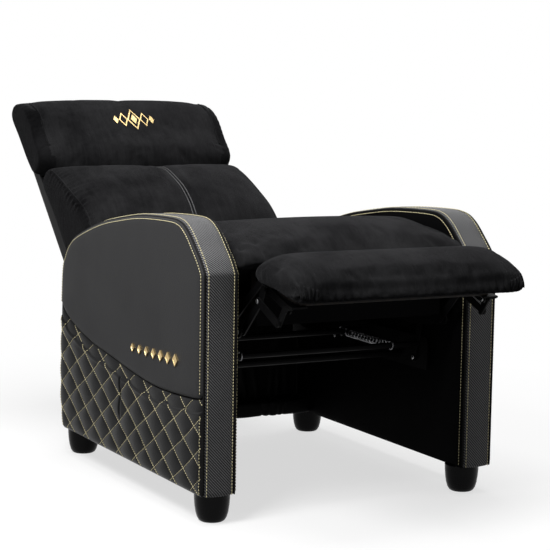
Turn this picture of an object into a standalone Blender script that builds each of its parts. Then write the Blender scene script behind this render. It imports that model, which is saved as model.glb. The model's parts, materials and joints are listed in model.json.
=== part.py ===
"""Gaming recliner, shown fully reclined: arms, base, sliding seat, folding footrest and tilting back.

Metres, +Z up. X is across the chair, the sitter faces -Y, and the floor is at zero.
"""

import math

import bmesh
import bpy
from mathutils import Matrix, Vector

# Overall sizes
OVERALL_WIDTH = 0.760
ARM_WIDTH = 0.091
ARM_DEPTH = 0.822
ARM_HEIGHT = 0.651
FOOT_HEIGHT = 0.064
SEAT_HEIGHT = 0.660

# Clearances
TOUCH = 0.0003
SIDE_GAP = 0.009
PLANE_GAP = 0.0015
OVERRUN = 0.002

# Arms
PANEL = 0.010
BAND = 0.012
LINING = 0.004
LINING_GAP = 0.0015
POCKET_DEPTH = 0.0057
POCKET_HEM = 0.020
SLOT_REVEAL = 0.026
PANEL_BEVEL = 0.003

# Feet
FOOT_TOP_RADIUS = 0.040
FOOT_INSET = 0.053
FOOT_FRONT = 0.048
FOOT_REAR = 0.034

# Steel mechanism
PLATE = 0.004
LINK_RADIUS = 0.009
PIN_RADIUS = 0.004
PIN_HEAD = 0.0065
PIN_HEAD_THICK = 0.001
RUNNING = 0.0004
TUBE_RADIUS = 0.008
BOSS_RADIUS = 0.010

# Base rails and the swing links that carry the seat
RAIL_FROM_ARM = 0.010
RAIL_FRONT = 0.130
RAIL_BOTTOM = 0.275
RAIL_TOP = 0.352
SWING_FRONT = 0.180
SWING_HEIGHT = 0.300
SWING_SPACING = 0.370
SWING_LENGTH = 0.100
SWING_ANGLE = 105.0
SWING_TUBE_HEIGHT = 0.035
SWING_TUBE_RADIUS = 0.007
FRONT_TUBE = 0.250
SPRING_TUBE = 0.400
SPRING_TUBE_HEIGHT = 0.336

# Springs
SPRING_FROM_RAIL = 0.075
SPRING_RADIUS = 0.0085
SPRING_WIRE = 0.0016
SPRING_HOOK_CLEAR = 0.0008
SPRING_CURLS = 12
CURL_POINTS = 8
HOOK_POINTS = 9
SPRING_LEG = 0.022
HOOK_TURN = 250.0
HOOK_LEAN = 40.0

# Rear rail under the chair
REAR_RAIL_DEPTH = 0.070
REAR_RAIL_HEIGHT = 0.042
REAR_RAIL_INSET = 0.040
REAR_RAIL_BEVEL = 0.006

# Footrest linkage: each link by its length and its angle at rest
FOOTREST_PIVOT = 0.050
FOOTREST_PIVOT_HEIGHT = 0.410
MAIN_LENGTH = 0.1368
MAIN_ANGLE = 131.15
OUTER_LENGTH = 0.0996
OUTER_ANGLE = 199.35
OUTER_TAIL_LENGTH = 0.0242
OUTER_TAIL_ANGLE = 51.7
CONTROL_SETBACK = 0.070
CONTROL_RISE = 0.010
LOWER_KNEE_LENGTH = 0.0295
LOWER_KNEE_ANGLE = -66.0
BRACKET_ARM_LENGTH = 0.0366
BRACKET_ARM_ANGLE = -55.0

# Seat
SEAT_FRONT = -0.020
SEAT_LENGTH = 0.720
SEAT_FALL = 7.1
DECK = 0.008
DECK_FRONT = 0.052
DECK_FRONT_HEIGHT = 0.488
DECK_END_GAP = 0.004
SEAT_RAIL_WIDTH = 0.022
SEAT_RAIL_HEIGHT = 0.045
SEAT_RAIL_LENGTH = 0.480
FRONT_RAIL_TOP = 0.541
NOSE_LIFT = 0.0075
FRONT_RAIL_BOTTOM = 0.440
FRONT_RAIL_DEPTH = 0.020
FRONT_PANEL = 0.008
FRONT_PANEL_LIP = 0.016
SEAT_TUCK = 0.008
SEAT_DRAW_IN = 0.005
LINK_BAY = 0.0055

# Footrest
FOOTREST_TILT = 8.7
FOOTREST_LENGTH = 0.237
FOOTREST_REAR = 0.127
FOOTREST_UNDERCUT = 0.034
FOOTREST_BASE = 0.028
FOOTREST_BOARD = 0.012
FOOTREST_BOARD_INSET = 0.020
FOOTREST_HEIGHT = 0.086
FOOTREST_CROWN = 0.010
FOOTREST_TUCK = 0.010
FOOTREST_DRAW_IN = 0.006
BRACKET_FLANGE = 0.036
BRACKET_LENGTH = 0.070
BRACKET_CLEAR = 0.004

# Back, laid out upright from its hinge
HINGE_DEPTH = 0.800
HINGE_HEIGHT = 0.365
BACK_LEAN = 45.7
HINGE_SETBACK = 0.1377
HINGE_BAR_LENGTH = 0.070
BACK_BOTTOM = 0.060
BACK_TOP = 0.725
BACK_KNEE = 0.480
FRAME_DEPTH = 0.050
FRAME_TOP_DEPTH = 0.022
STILE_WIDTH = 0.030
RAIL_WIDTH = 0.060
COVER = 0.003
BACK_BOARD = 0.005
LOWER_CUSHION_BOTTOM = 0.115
LOWER_CUSHION_TOP = 0.511
LOWER_CUSHION_GAP = 0.0006
HEADREST_BOTTOM = 0.5125
HEADREST_TOP = 0.775
HEADREST_SAG = 0.043
BACK_CUSHION_DEPTH = 0.292
LOWER_CUSHION_INSET = 0.010
BACK_TUCK = 0.010
BACK_DRAW_IN = 0.006
CHANNEL_DEPTH = 0.006

# Round stretches
ROUND_SEGMENTS = 10
FOOT_SEGMENTS = 16
CAP_POINTS = 5

# Places worked out from the sizes above
ARM_INNER = OVERALL_WIDTH / 2 - ARM_WIDTH
BAND_OUTER = OVERALL_WIDTH / 2 - PANEL
BAND_INNER = ARM_INNER + PANEL
CORE_OUTER = BAND_OUTER - TOUCH * 3 - POCKET_DEPTH - LINING
RAIL_OUT = ARM_INNER - RAIL_FROM_ARM
RAIL_IN = RAIL_OUT - PLATE
SWING_OUT = RAIL_IN - PLANE_GAP
SWING_IN = SWING_OUT - PLATE
SEAT_PLATE_OUT = SWING_IN - PLANE_GAP
SEAT_PLATE_IN = SEAT_PLATE_OUT - PLATE
LOWER_OUT = SEAT_PLATE_IN - PLANE_GAP
LOWER_IN = LOWER_OUT - PLATE
MAIN_OUT = LOWER_IN - PLANE_GAP
MAIN_IN = MAIN_OUT - PLATE
CONTROL_OUT = MAIN_IN - PLANE_GAP
CONTROL_IN = CONTROL_OUT - PLATE
OUTER_OUT = CONTROL_IN - PLANE_GAP
OUTER_IN = OUTER_OUT - PLATE
SEAT_FRAME_HALF = OUTER_IN - LINK_BAY
CUSHION_HALF = ARM_INNER - SIDE_GAP
BRACKET_OUT = SWING_OUT
BRACKET_IN = SWING_IN
COVER_HALF = BRACKET_IN - TOUCH
STILE_OUT = COVER_HALF - COVER - TOUCH

# Outlines as shares of the sizes that they follow
ARM_TOP_SHARES = (
    (0.000, 0.837), (0.024, 0.877), (0.052, 0.912), (0.100, 0.966), (0.150, 0.995), (0.225, 1.000),
    (0.394, 0.991), (0.533, 0.969), (0.679, 0.937), (0.833, 0.883), (0.914, 0.840), (0.963, 0.777),
    (0.988, 0.697), (1.000, 0.399), (1.000, 0.203), (0.980, 0.104),
)
QUILT_LINE_SHARES = (
    (0.000, 0.430), (0.064, 0.419), (0.189, 0.410), (0.319, 0.410), (0.456, 0.427),
    (0.600, 0.452), (0.752, 0.478), (0.912, 0.530), (0.990, 0.585),
)
SEAT_TOP_SHARES = (
    (0.000, 0.873, 0.912), (0.056, 0.900, 0.975), (0.111, 0.915, 0.992), (0.222, 0.938, 1.000),
    (0.340, 0.950, 0.994), (0.514, 0.924, 0.958), (0.694, 0.856, 0.883), (0.833, 0.775, 0.790),
    (1.000, 0.640, 0.642),
)
HEADREST_SHARES = (
    (0.000, 0.385, 0.565), (0.160, 0.402, 0.575), (0.400, 0.404, 0.541),
    (0.640, 0.400, 0.514), (0.860, 0.360, 0.445), (1.000, 0.235, 0.285),
)
LOWER_CUSHION_SHARES = (
    (0.000, 0.800, 0.830), (0.088, 0.850, 0.930), (0.184, 0.856, 0.993), (0.270, 0.825, 0.969),
    (0.437, 0.753, 0.890), (0.604, 0.680, 0.808), (0.725, 0.616, 0.750), (0.896, 0.510, 0.620),
    (1.000, 0.425, 0.540),
)
FOOTREST_TOP_SHARES = (
    (0.000, 0.420, 0.500), (0.085, 0.720, 0.800), (0.250, 0.910, 0.950), (0.460, 0.985, 1.000),
    (0.590, 1.000, 1.000), (0.790, 0.800, 0.850), (0.930, 0.620, 0.650), (1.000, 0.450, 0.500),
)
FOOT_SIDE_SHARES = ((1.00, 1.00), (0.985, 0.80), (0.93, 0.52), (0.84, 0.24), (0.74, 0.06), (0.675, 0.00))

# Colours
LEATHERETTE = ("leatherette", (0.040, 0.040, 0.042), 0.42, 0.0)
BAND_LEATHERETTE = ("embossed_leatherette", (0.030, 0.030, 0.032), 0.34, 0.0)
QUILT_LEATHERETTE = ("quilted_leatherette", (0.024, 0.024, 0.026), 0.40, 0.0)
VELOUR = ("black_velour", (0.012, 0.012, 0.013), 0.85, 0.0)
TIMBER = ("pine", (0.420, 0.290, 0.160), 0.70, 0.0)
STEEL = ("black_steel", (0.030, 0.030, 0.032), 0.38, 0.85)
ZINC = ("zinc_plated_steel", (0.550, 0.550, 0.560), 0.30, 1.0)
PLASTIC = ("foot_plastic", (0.012, 0.012, 0.013), 0.32, 0.0)
CLOTH = ("deck_cloth", (0.015, 0.015, 0.016), 0.90, 0.0)

SIDES = (("left", 1), ("right", -1))


def clear_scene():
    for obj in list(bpy.data.objects):
        bpy.data.objects.remove(obj, do_unlink=True)


def new_collection(name):
    collection = bpy.data.collections.new(name)
    bpy.context.scene.collection.children.link(collection)
    return collection


def material_for(name, finish):
    _, colour, roughness, metallic = finish
    material = bpy.data.materials.new(f"{name}_{finish[0]}")
    material.use_nodes = True
    shader = material.node_tree.nodes["Principled BSDF"]
    shader.inputs["Base Color"].default_value = (*colour, 1)
    shader.inputs["Roughness"].default_value = roughness
    shader.inputs["Metallic"].default_value = metallic
    material.diffuse_color = (*colour, 1)
    return material


def finish_part(obj, finish, parent=None, keep_place=True):
    obj.data.materials.clear()
    obj.data.materials.append(material_for(obj.name, finish))
    if obj.name not in parts.objects:
        parts.objects.link(obj)
    if parent is not None:
        obj.parent = parent
        if keep_place:
            obj.matrix_parent_inverse = parent.matrix_world.inverted()
    return obj


def pivot(name, place, parent=None, lean=0):
    """An empty on a joint's axis, which the pieces that turn there hang from."""
    empty = bpy.data.objects.new(name, None)
    empty.empty_display_size = PIN_RADIUS
    parts.objects.link(empty)
    empty.matrix_world = Matrix.Translation(place) @ Matrix.Rotation(math.radians(lean), 4, "X")
    bpy.context.view_layer.update()
    if parent is not None:
        empty.parent = parent
        empty.matrix_parent_inverse = parent.matrix_world.inverted()
        bpy.context.view_layer.update()
    return empty


def mesh_object(name, bm):
    bmesh.ops.recalc_face_normals(bm, faces=bm.faces)
    if bm.calc_volume(signed=True) < 0:
        bmesh.ops.reverse_faces(bm, faces=bm.faces)
    mesh = bpy.data.meshes.new(name)
    bm.to_mesh(mesh)
    bm.free()
    return bpy.data.objects.new(name, mesh)


def plate(name, outline, x_low, x_high, holes=()):
    """A flat outline in the side plane, given as (y, z) points, with its thickness across the chair."""
    curve = bpy.data.curves.new(name, "CURVE")
    curve.dimensions = "2D"
    curve.fill_mode = "BOTH"
    curve.extrude = abs(x_high - x_low) / 2
    for ring in (outline, *holes):
        spline = curve.splines.new("POLY")
        spline.points.add(len(ring) - 1)
        for point, (y, z) in zip(spline.points, ring):
            point.co = (y, z, 0, 1)
        spline.use_cyclic_u = True
    guide = bpy.data.objects.new(name, curve)
    middle = (x_low + x_high) / 2
    guide.matrix_world = Matrix(((0, 0, 1, middle), (1, 0, 0, 0), (0, 1, 0, 0), (0, 0, 0, 1)))
    cutters.objects.link(guide)
    return curve_to_mesh(guide, name)


def curve_to_mesh(guide, name):
    """The curve's solid as a mesh with its caps welded on; the curve itself goes."""
    bpy.context.view_layer.update()
    graph = bpy.context.evaluated_depsgraph_get()
    mesh = bpy.data.meshes.new_from_object(guide.evaluated_get(graph))
    mesh.transform(guide.matrix_world)
    curve = guide.data
    bpy.data.objects.remove(guide, do_unlink=True)
    bpy.data.curves.remove(curve)
    bm = bmesh.new()
    bm.from_mesh(mesh)
    bpy.data.meshes.remove(mesh)
    bmesh.ops.remove_doubles(bm, verts=bm.verts, dist=TOUCH / 30)
    return mesh_object(name, bm)


def mirrored(ends, side):
    """The two ends of a thickness on the given side of the chair, low end first."""
    low, high = sorted(side * x for x in ends)
    return low, high


def box(name, low, high, bevel=0.0):
    bm = bmesh.new()
    bmesh.ops.create_cube(bm, size=1)
    middle = [(a + b) / 2 for a, b in zip(low, high)]
    size = [b - a for a, b in zip(low, high)]
    bmesh.ops.transform(bm, matrix=Matrix.Translation(middle) @ Matrix.Diagonal((*size, 1)), verts=bm.verts)
    obj = mesh_object(name, bm)
    if bevel:
        rounded(obj, bevel, 2)
    return obj


def cylinder(name, centre, x_low, x_high, radius, segments=ROUND_SEGMENTS):
    """A round bar across the chair, at centre (y, z)."""
    bm = bmesh.new()
    turn = Matrix.Translation(((x_low + x_high) / 2, *centre)) @ Matrix.Rotation(math.pi / 2, 4, "Y")
    bmesh.ops.create_cone(
        bm, cap_ends=True, segments=segments, radius1=radius, radius2=radius,
        depth=x_high - x_low, matrix=turn,
    )
    return mesh_object(name, bm)


def rounded(obj, width, segments, limit=50):
    bevel = obj.modifiers.new("rounded_edges", "BEVEL")
    bevel.width = width
    bevel.segments = segments
    bevel.limit_method = "ANGLE"
    bevel.angle_limit = math.radians(limit)
    return obj


def boolean(obj, tool, operation):
    tool.hide_render = True
    tool.display_type = "WIRE"
    if tool.name not in cutters.objects:
        cutters.objects.link(tool)
    step = obj.modifiers.new(operation.lower(), "BOOLEAN")
    step.operation = operation
    step.solver = "EXACT"
    step.object = tool
    return obj


def value_along(rows, share):
    """The rows' values at a share of the way, in a straight step from row to row."""
    for before, after in zip(rows, rows[1:]):
        if share <= after[0]:
            t = (share - before[0]) / (after[0] - before[0])
            t = min(max(t, 0), 1)
            return [a + (b - a) * t for a, b in zip(before[1:], after[1:])]
    return list(rows[-1][1:])


def rounded_run(points, steps=2):
    """A Catmull-Rom run through the points, with the given number of steps between each two."""
    run = []
    last = len(points) - 1
    for i in range(last):
        p0, p1, p2, p3 = (Vector(points[min(max(k, 0), last)]) for k in (i - 1, i, i + 1, i + 2))
        for step in range(steps):
            t = step / steps
            run.append(tuple(
                0.5 * (2 * p1 + (p2 - p0) * t + (2 * p0 - 5 * p1 + 4 * p2 - p3) * t**2
                       + (3 * p1 - p0 - 3 * p2 + p3) * t**3)
            ))
    run.append(tuple(points[-1]))
    return run


def inset_run(points, distance):
    """The open run moved to its right-hand side, which is inwards on an arm's outline."""
    moved = []
    for i, point in enumerate(points):
        before, after = points[max(i - 1, 0)], points[min(i + 1, len(points) - 1)]
        along = Vector(after) - Vector(before)
        along.normalize()
        moved.append((point[0] + along[1] * distance, point[1] - along[0] * distance))
    return moved


def polar(start, length, degrees):
    angle = math.radians(degrees)
    return (start[0] + length * math.cos(angle), start[1] + length * math.sin(angle))


def circle(centre, radius, segments=ROUND_SEGMENTS):
    return [polar(centre, radius, 360 * i / segments) for i in range(segments)]


def strap(points, half_width):
    """A flat bar's outline along the points, with round ends."""
    first = math.degrees(math.atan2(points[1][1] - points[0][1], points[1][0] - points[0][0]))
    last = math.degrees(math.atan2(points[-1][1] - points[-2][1], points[-1][0] - points[-2][0]))
    outline = [
        polar(points[0], half_width, first + 90 + 180 * i / (CAP_POINTS - 1)) for i in range(CAP_POINTS)
    ]
    outline += inset_run(points, half_width)[1:-1]
    outline += [
        polar(points[-1], half_width, last - 90 + 180 * i / (CAP_POINTS - 1)) for i in range(CAP_POINTS)
    ]
    outline += reversed(inset_run(points, -half_width)[1:-1])
    return outline


def link(name, points, planes, side, pierced):
    """A flat steel link whose pierced ends turn on pins."""
    holes = [circle(point, PIN_RADIUS + RUNNING) for point in pierced]
    return plate(name, strap(points, LINK_RADIUS), *mirrored(planes, side), holes)


def add_pin(obj, centre, start, end, side):
    """A headed pin that grows from inside the object's plate at start to its head at end."""
    outward = 1 if end > start else -1
    add_stub(obj, centre, start, end, side)
    head = (end - outward * TOUCH, end + outward * PIN_HEAD_THICK)
    boolean(obj, cylinder(f"{obj.name}_pin_head", centre, *mirrored(head, side), PIN_HEAD), "UNION")


def add_stub(obj, centre, start, end, side):
    boolean(obj, cylinder(f"{obj.name}_stub", centre, *mirrored((start, end), side), PIN_RADIUS), "UNION")


def arm_outline():
    """From the front bottom corner, up over the top and down the rear, in the side plane."""
    run = rounded_run([(y * ARM_DEPTH, z * ARM_HEIGHT) for y, z in ARM_TOP_SHARES])
    return [(0, FOOT_HEIGHT), *run, (ARM_TOP_SHARES[-1][0] * ARM_DEPTH, FOOT_HEIGHT)]


def height_on(rows, y):
    """The height of a line given as shares of the arm, at a depth y."""
    return value_along(rows, y / ARM_DEPTH)[0] * ARM_HEIGHT


def line_run(rows, low, high, drop, steps=14):
    depths = [low + (high - low) * i / steps for i in range(steps + 1)]
    return [(y, height_on(rows, y) - drop) for y in depths]


def upper_part(outline, drop):
    """The part of an arm's outline above the quilt's line."""
    above = [point for point in outline if point[1] > height_on(QUILT_LINE_SHARES, point[0]) - drop]
    front, rear = above[0][0], above[-1][0]
    return above + list(reversed(line_run(QUILT_LINE_SHARES, front, rear, drop)))


def lower_part(outline, drop):
    """The part of an arm's outline below the quilt's line."""
    middle = len(outline) // 2
    below = [point[1] < height_on(QUILT_LINE_SHARES, point[0]) - drop for point in outline]
    front = [point for point, low in zip(outline[:middle], below[:middle]) if low]
    rear = [point for point, low in zip(outline[middle:], below[middle:]) if low]
    return front + line_run(QUILT_LINE_SHARES, front[-1][0], rear[0][0], drop) + rear


def build_arm(word, side):
    outline = arm_outline()
    inner_run = inset_run(outline, BAND)
    inner_run[0] = (BAND, FOOT_HEIGHT)
    inner_run[-1] = (outline[-1][0] - BAND, FOOT_HEIGHT)
    band = plate(
        f"arm_band_{word}", outline + list(reversed(inner_run)), *mirrored((BAND_INNER, BAND_OUTER), side)
    )
    finish_part(band, BAND_LEATHERETTE)

    core_run = inset_run(outline, BAND + TOUCH)
    core_run[0] = (BAND + TOUCH, FOOT_HEIGHT)
    core_run[-1] = (outline[-1][0] - BAND - TOUCH, FOOT_HEIGHT)
    core = plate(f"arm_core_{word}", core_run, *mirrored((BAND_INNER, CORE_OUTER), side))
    finish_part(core, TIMBER)

    inner = plate(
        f"arm_inner_panel_{word}", outline, *mirrored((ARM_INNER, BAND_INNER - TOUCH), side)
    )
    finish_part(rounded(inner, PANEL_BEVEL, 2), LEATHERETTE)

    lining_run = inset_run(outline, BAND + LINING_GAP)
    lining = plate(
        f"arm_pocket_lining_{word}",
        [(lining_run[0][0], FOOT_HEIGHT), *lower_part(lining_run, LINING_GAP)[1:-1],
         (outline[-1][0] - BAND - LINING_GAP, FOOT_HEIGHT)],
        *mirrored((CORE_OUTER + TOUCH, CORE_OUTER + TOUCH + LINING), side),
    )
    finish_part(lining, QUILT_LEATHERETTE)

    upper = plate(
        f"arm_outer_panel_{word}", upper_part(outline, 0),
        *mirrored((BAND_OUTER + TOUCH, OVERALL_WIDTH / 2), side),
    )
    rounded(upper, PANEL_BEVEL, 2)
    padding = plate(
        f"{upper.name}_padding", upper_part(lining_run, 0),
        *mirrored((CORE_OUTER + TOUCH, BAND_OUTER + PANEL / 2), side),
    )
    finish_part(boolean(upper, padding, "UNION"), LEATHERETTE)

    leaf = plate(
        f"arm_pocket_{word}", lower_part(outline, SLOT_REVEAL),
        *mirrored((BAND_OUTER + TOUCH, OVERALL_WIDTH / 2), side),
    )
    rounded(leaf, PANEL_BEVEL, 2)
    hem_ends = mirrored((CORE_OUTER + LINING + TOUCH * 2, BAND_OUTER + PANEL / 2), side)
    hem = box(
        f"{leaf.name}_hem",
        (hem_ends[0], BAND + TOUCH, FOOT_HEIGHT + TOUCH),
        (hem_ends[1], outline[-1][0] - BAND - TOUCH, FOOT_HEIGHT + POCKET_HEM),
    )
    finish_part(boolean(leaf, hem, "UNION"), QUILT_LEATHERETTE)


def build_foot(place, word, side):
    """A tapered moulded foot, turned from its side profile."""
    depth = FOOT_FRONT if place == "front" else ARM_DEPTH - FOOT_REAR
    height = FOOT_HEIGHT - TOUCH
    bm = bmesh.new()
    profile = [(0, height)] + [(FOOT_TOP_RADIUS * r, height * z) for r, z in FOOT_SIDE_SHARES] + [(0, 0)]
    points = [bm.verts.new((r, 0, z)) for r, z in profile]
    for a, b in zip(points, points[1:]):
        bm.edges.new((a, b))
    mesh = bpy.data.meshes.new(f"foot_{place}_{word}")
    bm.to_mesh(mesh)
    bm.free()
    foot = bpy.data.objects.new(mesh.name, mesh)
    foot.location = (side * (OVERALL_WIDTH / 2 - FOOT_INSET), depth, 0)
    screw = foot.modifiers.new("turned", "SCREW")
    screw.steps = FOOT_SEGMENTS
    screw.render_steps = FOOT_SEGMENTS
    screw.use_merge_vertices = True
    screw.merge_threshold = TOUCH / 30
    mesh.shade_smooth()
    finish_part(foot, PLASTIC)


def swing_seat_end(base_end):
    return polar(base_end, SWING_LENGTH, SWING_ANGLE)


def base_rail_outline():
    rise = (SWING_FRONT + SWING_SPACING + LINK_RADIUS * 6, RAIL_TOP)
    hinge = (HINGE_DEPTH, HINGE_HEIGHT)
    return [
        (RAIL_FRONT, RAIL_BOTTOM), (RAIL_FRONT, RAIL_TOP - LINK_RADIUS),
        (RAIL_FRONT + LINK_RADIUS, RAIL_TOP), rise,
        *[polar(hinge, LINK_RADIUS * 2, a) for a in (120, 90, 60, 30, 0, -30, -60)],
        (HINGE_DEPTH - LINK_RADIUS * 6, RAIL_BOTTOM + LINK_RADIUS * 3), (rise[0], RAIL_BOTTOM),
    ]


def build_base():
    front, rear = (SWING_FRONT, SWING_HEIGHT), (SWING_FRONT + SWING_SPACING, SWING_HEIGHT)
    hinge = (HINGE_DEPTH, HINGE_HEIGHT)
    middle = (RAIL_TOP + RAIL_BOTTOM) / 2
    for word, side in SIDES:
        rail = plate(f"base_rail_{word}", base_rail_outline(), *mirrored((RAIL_IN, RAIL_OUT), side))
        for place in (front, rear, hinge):
            add_pin(rail, place, RAIL_OUT - OVERRUN, SWING_IN - RUNNING, side)
        for y in (RAIL_FRONT + BOSS_RADIUS * 2, (FRONT_TUBE + SPRING_TUBE) / 2, rear[0] + BOSS_RADIUS * 6):
            ends = mirrored((RAIL_OUT - OVERRUN, ARM_INNER - TOUCH), side)
            boolean(rail, cylinder(f"{rail.name}_boss", (y, middle), *ends, BOSS_RADIUS), "UNION")
        finish_part(rail, STEEL)
    for name, centre in (
        ("base_front_tube", (FRONT_TUBE, SWING_HEIGHT)),
        ("base_spring_tube", (SPRING_TUBE, SPRING_TUBE_HEIGHT)),
    ):
        tube = cylinder(name, centre, -RAIL_IN + TOUCH, RAIL_IN - TOUCH, TUBE_RADIUS)
        finish_part(tube, STEEL)
    rail = box(
        "rear_rail",
        (-ARM_INNER + TOUCH, ARM_DEPTH - REAR_RAIL_INSET - REAR_RAIL_DEPTH, FOOT_HEIGHT),
        (ARM_INNER - TOUCH, ARM_DEPTH - REAR_RAIL_INSET, FOOT_HEIGHT + REAR_RAIL_HEIGHT),
        REAR_RAIL_BEVEL,
    )
    finish_part(rail, LEATHERETTE)


def hook(centre, tube_radius, coil_side):
    """A spring's hook: most of a turn round a tube, from its coil's side (1 rear, -1 front)."""
    step = HOOK_TURN / (HOOK_POINTS - 1)
    reach = (tube_radius + SPRING_WIRE + SPRING_HOOK_CLEAR) / math.cos(math.radians(step / 2))
    start = 90 - coil_side * HOOK_LEAN
    return [polar(centre, reach, start + coil_side * step * i) for i in range(HOOK_POINTS)]


def spring_route(x):
    """One unbroken wire: front hook, close coil from a formula, rear hook."""
    front = polar((SWING_FRONT, SWING_HEIGHT), SWING_TUBE_HEIGHT, SWING_ANGLE)
    rear = (SPRING_TUBE, SPRING_TUBE_HEIGHT)
    start, end = front[0] + TUBE_RADIUS + SPRING_LEG, rear[0] - TUBE_RADIUS - SPRING_LEG
    total = SPRING_CURLS * CURL_POINTS
    coil = []
    for i in range(total + 1):
        angle = 2 * math.pi * i / CURL_POINTS
        height = front[1] + (rear[1] - front[1]) * i / total
        coil.append((x + SPRING_RADIUS * math.sin(angle), start + (end - start) * i / total,
                     height + SPRING_RADIUS * math.cos(angle)))
    front_hook = [(x, y, z) for y, z in hook(front, SWING_TUBE_RADIUS, 1)]
    rear_hook = [(x, y, z) for y, z in hook(rear, TUBE_RADIUS, -1)]
    return list(reversed(front_hook)) + coil + list(rear_hook)


def least_gap(route, near=CURL_POINTS - 2):
    """The smallest gap of the wire to itself, between points that are not close along it."""
    gap = min(
        (Vector(a) - Vector(b)).length
        for i, a in enumerate(route)
        for b in route[i + near:]
    )
    return gap - 2 * SPRING_WIRE


def build_springs():
    for word, side in SIDES:
        route = spring_route(side * (RAIL_IN - SPRING_FROM_RAIL))
        print(f"spring_{word}: least gap to itself {least_gap(route) * 1000:.2f} mm")
        curve = bpy.data.curves.new(f"spring_{word}", "CURVE")
        curve.dimensions = "3D"
        curve.bevel_depth = SPRING_WIRE
        curve.bevel_resolution = 1
        curve.use_fill_caps = True
        spline = curve.splines.new("POLY")
        spline.points.add(len(route) - 1)
        for point, place in zip(spline.points, route):
            point.co = (*place, 1)
        finish_part(bpy.data.objects.new(f"spring_{word}", curve), ZINC)


def build_swings():
    """The links that carry the seat on the base rails."""
    ends = {"front": (SWING_FRONT, SWING_HEIGHT), "rear": (SWING_FRONT + SWING_SPACING, SWING_HEIGHT)}
    for place, base_end in ends.items():
        turn = pivot(f"swing_{place}_pivot", (0, *base_end))
        seat_end = swing_seat_end(base_end)
        for word, side in SIDES:
            name = f"swing_link_{place}_{word}"
            bar = link(name, [base_end, seat_end], (SWING_IN, SWING_OUT), side, (base_end, seat_end))
            finish_part(bar, STEEL, turn)
        if place == "front":
            centre = polar(base_end, SWING_TUBE_HEIGHT, SWING_ANGLE)
            half = SWING_IN - TOUCH
            tube = cylinder("swing_cross_tube", centre, -half, half, SWING_TUBE_RADIUS)
            finish_part(tube, STEEL, turn)


def deck_height(y):
    return DECK_FRONT_HEIGHT - (y - DECK_FRONT) * math.tan(math.radians(SEAT_FALL))


def footrest_points():
    """The linkage's pivots at rest, as (y, z)."""
    points = {"plate": (FOOTREST_PIVOT, FOOTREST_PIVOT_HEIGHT)}
    points["knee"] = polar(points["plate"], MAIN_LENGTH, MAIN_ANGLE)
    points["rest"] = polar(points["knee"], OUTER_LENGTH, OUTER_ANGLE)
    points["tail"] = polar(points["knee"], OUTER_TAIL_LENGTH, OUTER_TAIL_ANGLE)
    points["control"] = (FOOTREST_PIVOT + CONTROL_SETBACK, FOOTREST_PIVOT_HEIGHT + CONTROL_RISE)
    points["lower"] = polar(points["knee"], LOWER_KNEE_LENGTH, LOWER_KNEE_ANGLE)
    points["arm"] = polar(points["rest"], BRACKET_ARM_LENGTH, BRACKET_ARM_ANGLE)
    return points


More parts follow.
